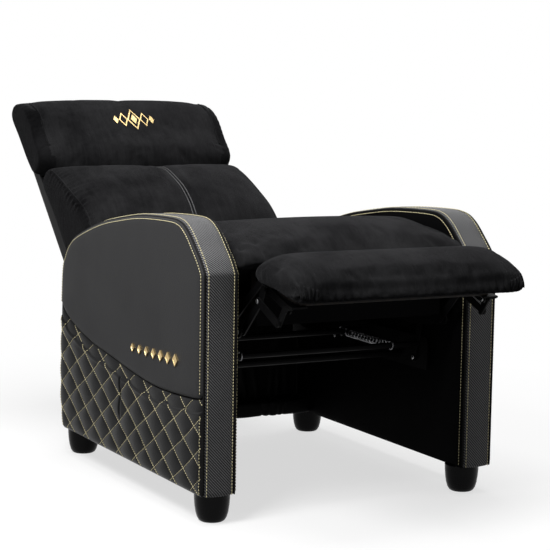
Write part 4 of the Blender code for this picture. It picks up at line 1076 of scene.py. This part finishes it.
def fromUpright(points):
    return points @ backWorld[:3, :3].T + backWorld[:3, 3]


def backFront(z):
    share = np.clip((z - back["knee"]) / (back["high"] - back["knee"]), 0, 1)
    return back["setback"] - (back["deep"] + (back["thin"] - back["deep"]) * share)


def coverCrown(x):
    return cover["crown"] * (1 - (x / back["half"]) ** 2)


def coverRipple(x, z):
    return cover["wave"] * np.sin(z * 41 + x * 9) * np.sin(x * 27 + z * 13)


def buildBackCover():
    # rear cover: pulled round both sides and down over the top, with a soft crown
    half, corner, rear = back["half"], cover["corner"], back["setback"]
    arc, flat = corner * math.pi / 2, 2 * (half - corner)

    def place(u, v):
        # s runs over the left side, round its corner, across the rear, and round to the right side
        z = back["low"] + v * (back["high"] - back["low"])
        front = backFront(z)
        wall = rear - front - corner
        s = u * (2 * wall + 2 * arc + flat)
        parts = [s < wall, s < wall + arc, s < wall + arc + flat, s < wall + 2 * arc + flat]
        left, right = (s - wall) / corner, (s - wall - arc - flat) / corner + math.pi / 2
        x = np.select(parts, [
            np.full_like(s, half), half - corner + corner * np.cos(left), half - corner - (s - wall - arc),
            -half + corner + corner * np.cos(right),
        ], -half)
        y = np.select(parts, [
            front + s, rear - corner + corner * np.sin(left), np.full_like(s, rear),
            rear - corner + corner * np.sin(right),
        ], rear - corner - (s - wall - 2 * arc - flat))
        ends = np.minimum(v, 1 - v) * (back["high"] - back["low"])
        rearness = np.clip((y - (rear - 0.003)) / 0.003, 0, 1)
        dent = cover["seamDepth"] * bell(np.abs(x) - cover["seam"], cover["seamWidth"])
        relief = coverCrown(x) * fadeIn(ends, cover["crownReach"]) - dent + coverRipple(x, z)
        y = y + rearness * relief - cover["endDrop"] * fadeOut(ends, cover["endReach"])
        x = x * (1 - cover["endDraw"] * fadeOut(ends, cover["endReach"]))
        return fromUpright(np.column_stack([x, y, z]))

    piece = layGrid("backCoverCloth", cover["columns"], cover["rows"], place)
    inside = fromUpright(np.array([[0, rear - 0.03, 0.4]]))[0]
    thicken(piece, inside, cover["thickness"])
    finishPiece(piece, "dark", "back", ("back_cover",))
    rows = []
    z = np.linspace(back["low"] + 0.01, back["high"] - 0.01, 90)
    out = backWorld[:3, :3] @ np.array([0, 1, 0])
    for x in cover["stitchRows"]:
        path = np.column_stack([np.full_like(z, x), rear + coverCrown(x) + coverRipple(x, z), z])
        rows.append((fromUpright(path), np.tile(out, (len(z), 1))))
    sewRows("backCoverStitches", rows, "gold", "back")


def cloneNode(name, nodeName):
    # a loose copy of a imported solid, merged, to be dressed as cloth
    piece = linkPiece(name, nodes[nodeName].data.copy())
    piece.data.name = name
    tidyMesh(piece)
    return piece


cloth = {"quality": 4, "mass": 0.25, "stiffness": 12, "shear": 6, "bending": 0.4, "frames": 20}
rounding = {"factor": 0.6, "iterations": 18, "corner": 0.010, "lastCorner": 0.004}


def heldStill(points, normals, face, amount, width):
    # the points under a pad, or behind it in the upright back, and those at both its ends
    away = -normals[:, 2] if face == "under" else turnUpright(normals)[:, 1]
    return (away > amount) | (np.abs(points[:, 0]) > width)


def inflate(piece, spec):
    # pressure inside the cover, its seams and its underside held still
    points = pointsOf(piece)
    group = piece.vertex_groups.new(name="heldDown")
    held = np.flatnonzero(heldStill(points, normalsOf(piece), *spec["held"]))
    group.add([int(i) for i in held], 1.0, "REPLACE")
    step = piece.modifiers.new("cover", "CLOTH")
    settings = step.settings
    settings.quality = cloth["quality"]
    settings.mass = cloth["mass"]
    settings.tension_stiffness = settings.compression_stiffness = cloth["stiffness"]
    settings.shear_stiffness = cloth["shear"]
    settings.bending_stiffness = cloth["bending"]
    settings.use_pressure = True
    settings.uniform_pressure_force = spec["pressure"]
    settings.shrink_min = spec["slack"]
    settings.vertex_group_mass = "heldDown"
    settings.effector_weights.gravity = 0
    step.collision_settings.use_collision = False
    step.point_cache.frame_start, step.point_cache.frame_end = 1, cloth["frames"]
    for number in range(1, cloth["frames"] + 1):
        bpy.context.scene.frame_set(number)
    shaped = piece.evaluated_get(bpy.context.evaluated_depsgraph_get())
    travel = pointsOf(shaped) - points
    piece.modifiers.remove(step)
    bpy.context.scene.frame_set(1)
    piece.vertex_groups.clear()
    length = np.linalg.norm(travel, axis=1)
    travel *= np.minimum(1, spec["cap"] / np.maximum(length, 1e-9))[:, None]
    setPoints(piece, points + travel)


def squareEnds(points, stretch, limit, corner):
    # fills a cushion out to its full width, with its end faces nearly flat
    size = np.abs(points[:, 0]) * stretch
    start = limit - corner
    over = np.maximum(size - start, 0)
    moved = points.copy()
    moved[:, 0] = np.sign(points[:, 0]) * np.where(size > start, start + corner * fadeIn(over, corner), size)
    return moved


def plump(spec):
    # a packed cushion's solid made soft: meshed evenly, rounded, shaped and blown up
    piece = cloneNode(spec["name"], spec["node"])
    applyStep(piece, "REMESH", mode="VOXEL", voxel_size=spec["voxel"])
    before = pointsOf(piece)
    applyStep(piece, "SMOOTH", factor=rounding["factor"], iterations=rounding["iterations"])
    lost = np.linalg.norm(pointsOf(piece) - before, axis=1).mean()
    applyStep(piece, "DISPLACE", strength=lost, mid_level=0)
    shaped = spec["shape"](pointsOf(piece))
    setPoints(piece, squareEnds(shaped, spec["stretch"], spec["limit"], rounding["corner"]))
    if spec["grow"]:
        applyStep(piece, "DISPLACE", strength=spec["grow"], mid_level=0)
    inflate(piece, spec)
    applyStep(piece, "SMOOTH", factor=0.5, iterations=2)
    applyStep(piece, "SUBSURF", levels=1, render_levels=1)
    return piece


def dressCushion(piece, points, spec):
    # sets the last shape and gives the cushion its cloth and its body
    setPoints(piece, points)
    finishPiece(piece, "velour", spec["body"], (spec["node"],))
    print(spec["name"], len(points), "points")


crease = {"whole": 0.25, "fade": 0.2, "bank": 0.45, "bankAt": 1.9, "bankWidth": 0.9}


def creaseInto(points, normals, lines):
    # each line is (start, end, width, depth): a soft valley along it, fading at its ends, with low banks
    moved = points.copy()
    for start, end, width, depth in lines:
        a, b = np.array(start), np.array(end)
        span = b - a
        share = ((points - a) @ span) / (span @ span)
        nearest = a + np.clip(share, 0, 1)[:, None] * span
        gap = np.linalg.norm(points - nearest, axis=1)
        fade = bell(np.clip(np.abs(share - 0.5) - crease["whole"], 0, None), crease["fade"])
        bank = crease["bank"] * bell(gap - crease["bankAt"] * width, crease["bankWidth"] * width)
        valley = bell(gap, width) - bank
        moved -= normals * (depth * valley * fade)[:, None]
    return moved


def forwardness(points):
    return -points[:, 1]


def ridgePath(points, mask, score, count, low, high):
    # the outermost corner of a cushion, followed upwards and smoothed
    found = []
    edges = np.linspace(low, high, count + 1)
    for a, b in zip(edges, edges[1:]):
        part = points[mask & (points[:, 2] >= a) & (points[:, 2] < b)]
        if len(part) > 2:
            found.append(part[np.argsort(score(part))[-4:]].mean(axis=0))
    found = np.array(found)
    for _ in range(2):
        padded = np.vstack([found[:1], found[:1], found, found[-1:], found[-1:]])
        found = np.stack([np.convolve(padded[:, i], [0.2] * 5, "valid") for i in range(3)], axis=1)
    return smoothRun(found, 3)


seatShape = {"from": 0.11, "to": 0.02, "flatter": 0.021, "ends": 0.026}


def shapeSeat(points):
    # a flatter crown that stays full out to both arms
    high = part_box("seat_cushion")[1]
    across = np.abs(points[:, 0]) / high.x
    upper = risen(points[:, 2], high.z - seatShape["from"], high.z - seatShape["to"])
    moved = points.copy()
    moved[:, 2] += upper * (seatShape["ends"] * across**3 - seatShape["flatter"])
    return moved


footrestShape = {"flatter": 0.010, "ends": 0.008, "underside": 0.05, "nose": 0.075, "noseRise": 0.008}


def shapeFootrest(points):
    # a flatter crown, and a nose that is drawn up underneath
    low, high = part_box("footrest_cushion")
    across = np.abs(points[:, 0]) / high.x
    under = low.z + footrestShape["underside"]
    upper = risen(points[:, 2], under, high.z - 0.01)
    front = risen(-points[:, 1], -low.y - footrestShape["nose"], -low.y - 0.01)
    moved = points.copy()
    moved[:, 2] += upper * (footrestShape["ends"] * across**3 - footrestShape["flatter"])
    moved[:, 2] += footrestShape["noseRise"] * front * (1 - risen(points[:, 2], low.z, under))
    return moved


# below "from" the cushion is drawn down by up to "longer", and back towards its cover
lowerShape = {"half": 0.264, "fuller": 0.020, "from": 0.27, "over": 0.126, "most": 1.05, "longer": 0.085,
              "backwards": 0.080, "rear": 0.088, "depth": 0.25}


def shapeLower(points):
    # fuller in the middle, so the centre seam stands well forward, and drawn down behind the seat at its lower end
    upright = toUpright(points)
    across = np.abs(upright[:, 0]) / lowerShape["half"]
    front = risen(-upright[:, 1], -0.03, 0.06)
    upright[:, 1] -= front * lowerShape["fuller"] * np.clip(1 - across**2, 0, 1)
    drop = np.clip((lowerShape["from"] - upright[:, 2]) / lowerShape["over"], 0, lowerShape["most"])
    share = np.clip((lowerShape["rear"] - upright[:, 1]) / lowerShape["depth"], 0, 1)
    upright[:, 1] += lowerShape["backwards"] * drop**2 * share
    upright[:, 2] -= lowerShape["longer"] * drop
    return fromUpright(upright)


headrestShape = {"half": 0.274, "topFrom": 0.58, "topTo": 0.72, "fuller": 0.008,
                 "ends": 0.012, "endsAt": 0.665, "endsWidth": 0.06, "edge": 0.62, "edgeOver": 0.15, "edgeRise": 0.048}


def shapeHeadrest(points):
    # a thick roll: fuller at its top, its lower edge drawn up at both ends
    upright = toUpright(points)
    across = np.abs(upright[:, 0]) / headrestShape["half"]
    upper = risen(upright[:, 2], headrestShape["topFrom"], headrestShape["topTo"])
    upright[:, 1] -= upper * headrestShape["fuller"]
    upright[:, 2] += upper * headrestShape["fuller"]
    ends = headrestShape["ends"] * bell(upright[:, 2] - headrestShape["endsAt"], headrestShape["endsWidth"])
    upright[:, 1] -= ends * across**2 * risen(-upright[:, 1], -0.05, 0)
    below = np.clip((headrestShape["edge"] - upright[:, 2]) / headrestShape["edgeOver"], 0, 1)
    upright[:, 2] += headrestShape["edgeRise"] * below * across**2.5
    return fromUpright(upright)


# a back cushion's seams run from low to high where its front meets the side strip: at the corner, or set in
cushions = {
    "seat": {"name": "seatCushion", "node": "seat_cushion", "body": "seat", "shape": shapeSeat, "voxel": 0.0080,
             "grow": -0.003, "pressure": 4.0, "slack": -0.025, "cap": 0.010, "held": ("under", 0.55, 0.280),
             "stretch": 1.120, "limit": 0.2870, "fill": 0.8},
    "footrest": {"name": "footrestCushion", "node": "footrest_cushion", "body": "footrest", "shape": shapeFootrest,
                 "voxel": 0.0065, "grow": -0.004, "pressure": 4.5, "slack": -0.02, "cap": 0.009,
                 "held": ("under", 0.6, 0.281), "stretch": 1.058, "limit": 0.2878, "fill": 0.7},
    "lower": {"name": "backCushion", "node": "back_cushion_lower", "body": "back", "shape": shapeLower,
              "voxel": 0.0075, "grow": 0, "pressure": 4.5, "slack": -0.015, "cap": 0.012,
              "held": ("rear", 0.5, 0.280), "stretch": 1.150, "limit": 0.2866, "fill": 0.75,
              "low": 0.075, "high": 0.50, "setIn": 0, "centreSeam": True,
              "folds": {"period": 0.017, "depth": 0.0017, "reach": 0.040}},
    "headrest": {"name": "headrestCushion", "node": "headrest_cushion", "body": "back", "shape": shapeHeadrest,
                 "voxel": 0.0070, "grow": 0.004, "pressure": 5.0, "slack": -0.008, "cap": 0.010,
                 "held": ("rear", 0.5, 0.286), "stretch": 1.190, "limit": 0.2940, "fill": 0.75,
                 "low": 0.56, "high": 0.765, "setIn": 0.264, "centreSeam": False,
                 "folds": {"period": 0.019, "depth": 0.0009, "reach": 0.035}},
}
# place along the nose, slant, width and depth of each wrinkle that runs back over it
seatWrinkles = [
    (-0.24, 0.05, 0.010, 0.0050), (-0.19, 0.06, 0.009, 0.0045), (-0.13, 0.06, 0.010, 0.0050),
    (-0.07, 0.05, 0.009, 0.0035), (-0.01, 0.035, 0.010, 0.0030), (0.07, -0.03, 0.010, 0.0028),
    (0.16, -0.05, 0.010, 0.0038), (0.23, -0.05, 0.009, 0.0045),
]


def buildSeatCushion():
    spec = cushions["seat"]
    piece = plump(spec)
    low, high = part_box(spec["node"])
    front, rear, top = low.y, high.y, high.z
    lines = [((x, front + 0.004, top - 0.115), (x - slant, front + 0.075, top - 0.045), width, depth)
             for x, slant, width, depth in seatWrinkles]
    for side in (-1, 1):
        lines += [
            ((side * 0.27, front + 0.10, top - 0.08), (side * 0.20, front + 0.17, top - 0.018), 0.011, 0.0030),
            ((side * 0.27, rear - 0.22, top - 0.16), (side * 0.19, rear - 0.16, top - 0.09), 0.012, 0.0035),
        ]
    points = creaseInto(pointsOf(piece), normalsOf(piece), lines)
    dressCushion(piece, squareEnds(points, 1.0, spec["limit"], rounding["lastCorner"]), spec)


pleats = {"seamHalf": 0.27, "seamBelow": 0.012, "seamWidth": 0.010, "seamDepth": 0.0045,
          "period": 0.0095, "depth": 0.0036, "near": 0.050,
          "gatherPeriod": 0.017, "gatherDepth": 0.0032, "gatherHeight": 0.028,
          "sewn": 5, "first": 0.012, "apart": 0.009, "radius": 0.0023}


def buildFootrestCushion():
    spec = cushions["footrest"]
    piece = plump(spec)
    low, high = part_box(spec["node"])
    middle = (low + high) / 2
    points, normals = pointsOf(piece), normalsOf(piece)
    # the seam that runs across the front below the nose
    half, y, z = pleats["seamHalf"], low.y + 0.004, middle.z - pleats["seamBelow"]
    line = ((-half, y, z), (half, y, z), pleats["seamWidth"], pleats["seamDepth"])
    points = creaseInto(points, normals, [line])
    # pleats gathered at both front corners, strongest below the seam
    x, y, z = points.T
    toCorner = 0.285 - np.abs(x)
    frontness = np.clip((middle.y - y) / (middle.y - low.y), 0, 1)
    lower = np.clip((high.z - 0.025 - z) / 0.03, 0, 1)
    wave = np.sin(toCorner * 2 * math.pi / pleats["period"] + 3 * np.sin(z * 60))
    pleat = wave * bell(toCorner, pleats["near"]) * lower * (0.35 + 0.65 * frontness)
    # smaller gathers along the lower edge, fainter towards the middle
    gather = np.sin(x * 2 * math.pi / pleats["gatherPeriod"] + 2 * np.sin(x * 19))
    gather *= bell(z - low.z, pleats["gatherHeight"]) * (0.25 + 0.75 * np.clip((np.abs(x) - 0.10) / 0.12, 0, 1))
    points = points + normals * (pleats["depth"] * pleat)[:, None]
    points = points + normals * (pleats["gatherDepth"] * gather * (normals[:, 2] > -0.8))[:, None]
    points = squareEnds(points, 1.0, spec["limit"], rounding["lastCorner"])
    dressCushion(piece, points, spec)
    # the pleats sewn into the front corners
    for word, side in sides:
        for i in range(pleats["sewn"]):
            place = side * (spec["limit"] - pleats["first"] - pleats["apart"] * i)
            near = np.abs(points[:, 0] - place) < 0.006
            line = ridgePath(points, near, forwardness, 9, low.z + 0.006, middle.z + 0.006 - 0.003 * i)
            line[:, 0] = place
            fold = sweepTube(f"footrestPleat_{word}_{i + 1}", evenRun(line, 0.004), pleats["radius"])
            finishPiece(fold, "velour", "footrest")


def boxingFolds(upright, turned, line, period, depth, reach):
    # small folds that run out from a seam over the side of a cushion
    sideness = np.clip((np.abs(turned[:, 0]) - 0.35) / 0.4, 0, 1)
    z = upright[:, 2]
    gap = np.abs(upright[:, 1] - np.interp(z, line[:, 2], line[:, 1]))
    wave = np.sin(z * 2 * math.pi / period + 2.3 * np.sin(z * 31) + gap * 14)
    uneven = 0.55 + 0.45 * np.sin(z * 83 + 2) * np.sin(z * 29)
    return depth * wave * uneven * bell(gap, reach * (0.6 + 0.4 * uneven)) * sideness


def sideSeam(upright, side, spec):
    # the line where the front meets the side strip
    if spec["setIn"]:
        mask = np.abs(side * upright[:, 0] - spec["setIn"]) < 0.006
        return ridgePath(upright, mask, forwardness, edging["count"], spec["low"], spec["high"])

    def cornerness(points):
        return side * points[:, 0] - 0.9 * points[:, 1]

    mask = side * upright[:, 0] > 0.15
    return ridgePath(upright, mask, cornerness, edging["count"], spec["low"], spec["high"])


def paintSideStrip(piece, upright, turned, lines):
    # the darker strip between the front's seam and the rear
    piece.data.materials.append(finishes["boxing"])
    width = np.abs(upright[:, 0])
    for line in lines:
        side = np.sign(line[0, 0])
        seamX = np.interp(upright[:, 2], line[:, 2], np.abs(line[:, 0]))
        seamY = np.interp(upright[:, 2], line[:, 2], line[:, 1])
        inStrip = (side * upright[:, 0] > 0.2) & ((width > seamX + 0.001) | (upright[:, 1] > seamY + 0.004))
        inStrip &= (width > seamX - 0.012) & (np.abs(turned[:, 0]) > 0.15)
        for face in piece.data.polygons:
            if all(inStrip[i] for i in face.vertices):
                face.material_index = 1


edging = {"count": 34, "pinch": 0.0022, "pinchWidth": 0.0065, "step": 0.006, "welt": 0.0021}

# the double seam down the middle of the back: its groove, its low banks, and its two rows
centre = {"depth": 0.0052, "width": 0.0125, "bank": 0.0016, "bankAt": 0.026, "bankWidth": 0.010,
          "apart": 0.0045, "sunk": 0.0011, "radius": 0.0013, "step": 0.006, "nearest": 6}


def sewCentreSeam(upright, turned, spec):
    for word, side in sides:
        beside = np.abs(side * upright[:, 0] - 0.0048) < 0.004
        line = ridgePath(upright, beside, forwardness, 30, spec["low"] + 0.04, spec["high"] - 0.01)
        line[:, 0] = side * centre["apart"]
        front = upright[beside & (turned[:, 1] < -0.2)]
        for point in line:
            near = np.argsort(np.abs(front[:, 2] - point[2]))[:centre["nearest"]]
            point[1] = front[near, 1].mean() - centre["sunk"]
        path = fromUpright(evenRun(line, centre["step"]))
        finishPiece(sweepTube(f"{spec['name']}_seam_{word}", path, centre["radius"]), "grey", "back")


def buildBackCushion(spec):
    piece = plump(spec)
    upright, turned = toUpright(pointsOf(piece)), turnUpright(normalsOf(piece))
    if spec["centreSeam"]:
        frontness = np.clip((-turned[:, 1] - 0.2) / 0.3, 0, 1)
        x = np.abs(upright[:, 0])
        groove = centre["depth"] * bell(x, centre["width"])
        groove -= centre["bank"] * bell(x - centre["bankAt"], centre["bankWidth"])
        upright = upright - turned * (groove * frontness)[:, None]
    lines = [sideSeam(upright, side, spec) for _, side in sides]
    for line in lines:
        side = np.sign(line[0, 0])
        fold = boxingFolds(upright, turned, line, **spec["folds"]) * (side * upright[:, 0] > 0.1)
        near = np.min(np.linalg.norm(upright[:, None, 1:] - line[None, ::4, 1:], axis=2), axis=1)
        pinch = edging["pinch"] * bell(near, edging["pinchWidth"]) * (side * upright[:, 0] > 0.15)
        upright = upright + turned * (fold - pinch)[:, None]
    upright = squareEnds(upright, 1.0, spec["limit"], rounding["lastCorner"])
    dressCushion(piece, fromUpright(upright), spec)
    paintSideStrip(piece, upright, turned, lines)
    if spec["centreSeam"]:
        sewCentreSeam(upright, turned, spec)
    widest = spec["limit"] - 0.001
    for (word, _), line in zip(sides, lines):
        line[:, 0] = np.clip(line[:, 0], -widest, widest)
        path = fromUpright(evenRun(line, edging["step"]))
        welt = sweepTube(f"{spec['name']}_welt_{word}", path, edging["welt"])
        finishPiece(welt, "velour", "back")
    return upright


drape = {"around": 0.02, "front": 0.08, "nearest": 6}


def drapeOn(piece, upright, lift):
    # lays a thin tablet on the cushion: each of its points follows the cloth under it
    points = toUpright(pointsOf(piece))
    low, high = points.min(axis=0) - drape["around"], points.max(axis=0) + drape["around"]
    around = np.all((upright[:, ::2] > low[::2]) & (upright[:, ::2] < high[::2]), axis=1)
    front = upright[(upright[:, 1] < drape["front"]) & around]
    for i, (x, y, z) in enumerate(points):
        near = np.argsort((front[:, 0] - x) ** 2 + (front[:, 2] - z) ** 2)[:drape["nearest"]]
        points[i, 1] = y + front[near, 1].mean() - lift
    setPoints(piece, fromUpright(points))


# each tablet has its place to the side, its width and height, its finish and how far it stands out
headTrim = {
    "z": 0.634, "depth": 0.0016,
    "middle": [(0, 0.040, 0.084, "trim", 0.0012), (0, 0.031, 0.066, "velour", 0.0018),
               (0, 0.018, 0.038, "trim", 0.0026)],
    "beside": [(0.0315, 0.026, 0.056, "trim", 0.0012), (0.0315, 0.0185, 0.040, "velour", 0.0018),
               (0.0540, 0.0150, 0.032, "trim", 0.0012)],
}


def headrestTrim(upright):
    # sewn lozenges at the middle of the headrest: a large open one, with smaller ones at both sides
    tablets = list(headTrim["middle"])
    for side in (-1, 1):
        tablets += [(side * x, *others) for x, *others in headTrim["beside"]]
    for i, (x, width, height, finish, lift) in enumerate(tablets):
        place = backPlace @ Matrix(((1, 0, 0, x), (0, 0, -1, 0), (0, 1, 0, headTrim["z"]), (0, 0, 0, 1)))
        piece = buildLozenge(f"headrestTrim_{i + 1}", place, width, height, headTrim["depth"])
        applyStep(piece, "SUBSURF", subdivision_type="SIMPLE", levels=3, render_levels=3)
        drapeOn(piece, upright, lift)
        piece.data.materials.append(finishes[finish])
        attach(piece, "back")


# how far the board and its brackets are cut back at the front, and how thick the board stays there
board = {"setBack": 0.062, "bracketBack": 0.050, "frontThick": 0.012, "edge": 0.002, "edgeAngle": 40}


def cutBack(piece, before, distance):
    # moves the points in front of a line back and up, along the board's tapered underside
    low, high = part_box("footrest_board")
    fall = (high.z - low.z - board["frontThick"]) / (high.y - low.y)
    points = pointsOf(piece)
    front = points[:, 1] < before
    points[front, 1] += distance
    points[front, 2] += distance * fall
    setPoints(piece, points)


def buildFootrestBracket(word):
    # the pressed bracket under the board, its flange cut back with the board
    piece = cloneNode(f"footrestBracket_{word}", f"footrest_bracket_{word}")
    cutBack(piece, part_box("footrest_board")[0].y + 0.05, board["bracketBack"])
    finishPiece(piece, "enamel", "footrest", (f"footrest_bracket_{word}",))
    bpy.ops.object.shade_smooth_by_angle(angle=math.radians(35))


def buildFootrestBoard():
    # the board under the pad, near-black as painted shade, set back from the pad's front and tapered there
    piece = cloneNode("footrestBoard", "footrest_board")
    low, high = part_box("footrest_board")
    cutBack(piece, (low.y + high.y) / 2, board["setBack"])
    roundEdges(piece, board["edge"], board["edgeAngle"])
    finishPiece(piece, "timber", "footrest", ("footrest_board",))


frontPanel = {"swell": 0.002, "swellReach": 0.01, "wave": 0.0010, "columns": 160, "rows": 26, "thickness": 0.006}


def buildFrontPanel():
    # the cloth panel below the seat's nose, softly gathered, in a near-black finish that is painted shade
    low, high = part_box("seat_front_panel")

    def place(u, v):
        x = low.x + u * (high.x - low.x)
        z = low.z + v * (high.z - low.z)
        edge = np.minimum(v, 1 - v) * (high.z - low.z)
        y = low.y + 0.001 - frontPanel["swell"] * fadeIn(edge, frontPanel["swellReach"])
        y = y - frontPanel["wave"] * np.sin(x * 61 + 4 * np.sin(x * 13)) * np.sin(v * math.pi)
        return np.column_stack([x, y, z])

    panel = layGrid("seatFrontCloth", frontPanel["columns"], frontPanel["rows"], place)
    thicken(panel, (0, low.y + 1, (low.z + high.z) / 2), frontPanel["thickness"])
    finishPiece(panel, "inner", "seat", ("seat_front_panel",))


# a head is left out where it would stand further from the middle than the limit, inside an arm
rivet = {"radius": 0.0056, "height": 0.0012, "around": 20, "rings": 8, "reach": 0.0085, "limit": 0.275}
pivots = {
    "swingFront": (-0.40489, 0.3), "swingRear": (-0.03489, 0.3), "seatRear": (-0.06077, 0.39659),
    "main": (-0.53489, 0.41), "control": (-0.46489, 0.42), "outer": (-0.62491, 0.51301),
    "lower": (-0.61291, 0.48606), "footrest": (-0.71888, 0.48001), "hinge": (0.21511, 0.365),
}
links = ("swing_", "seat_plate", "footrest_main", "footrest_outer", "footrest_control", "footrest_lower",
         "footrest_bracket", "back_hinge")


def rivetHead():
    # a sphere's upper half, pressed low
    deselectAll()
    bpy.ops.mesh.primitive_uv_sphere_add(segments=rivet["around"], ring_count=rivet["rings"], radius=1)
    head = bpy.context.object
    points = pointsOf(head)
    points[:, 2] = np.maximum(points[:, 2], 0) * rivet["height"]
    points[:, :2] *= rivet["radius"]
    setPoints(head, points)
    tidyMesh(head)
    return head


def buildRivets():
    # a low domed head on both ends of each pin, one modelled and the rest copied
    head = rivetHead()
    steel = {name: pointsOf(node) for name, node in nodes.items()
             if name.startswith((*links, "base_rail")) and "tube" not in name}
    count = 0
    for word, side in sides:
        for pivot, (y, z) in pivots.items():
            ends = []
            for name, points in steel.items():
                atPin = np.hypot(points[:, 1] - y, points[:, 2] - z) < rivet["reach"]
                depth = np.abs(points[atPin & (points[:, 0] * side > 0), 0])
                if len(depth):
                    ends += [(depth.max(), name), (depth.min(), name)]
            if not ends:
                continue
            for (x, name), out, end in ((max(ends), side, "out"), (min(ends), -side, "in")):
                if x > rivet["limit"]:
                    continue
                piece = linkPiece(f"rivet_{pivot}_{word}_{end}", head.data.copy())
                turn = Matrix.Rotation(out * math.pi / 2, 4, "Y")
                piece.data.transform(Matrix.Translation((side * x, y, z)) @ turn)
                piece.data.materials.append(finishes["bolt"])
                makeActive(piece)
                bpy.ops.object.shade_smooth()
                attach(piece, nodes[name]["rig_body"])
                count += 1
    bpy.data.objects.remove(head)
    print("rivets:", count)


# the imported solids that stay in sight, by the start of their names
nodeFinishes = {
    "felt": ("arm_core", "arm_pocket_lining"),
    # the timber takes the near-black pine, painted shade for the space under the seat
    "timber": ("back_stile", "back_top_rail", "back_bottom_rail", "seat_side_rail", "seat_rear_rail",
               "seat_front_rail", "footrest_board"),
    "deck": ("seat_deck", "back_board"),
    "zinc": ("spring_",),
    "enamel": ("base_", *links),
}


def finishNodes():
    for name, node in nodes.items():
        for finish, starts in nodeFinishes.items():
            if name.startswith(starts):
                node.data.materials.clear()
                node.data.materials.append(finishes[finish])


placeCamera()
buildStudio()
finishNodes()
print("studio and finishes ready")
for word, side in sides:
    buildArm(word, side)
    for place in ("front", "rear"):
        buildFoot(place, word)
buildRearRail()
buildRearApron()
buildBackTail()
buildBackCover()
buildFrontPanel()
buildFootrestBoard()
for word, _ in sides:
    buildFootrestBracket(word)
print("covers made")
buildSeatCushion()
buildFootrestCushion()
buildBackCushion(cushions["lower"])
headrestTrim(buildBackCushion(cushions["headrest"]))
print("cushions made")
buildRivets()

bpy.context.scene.view_settings.view_transform = "Standard"
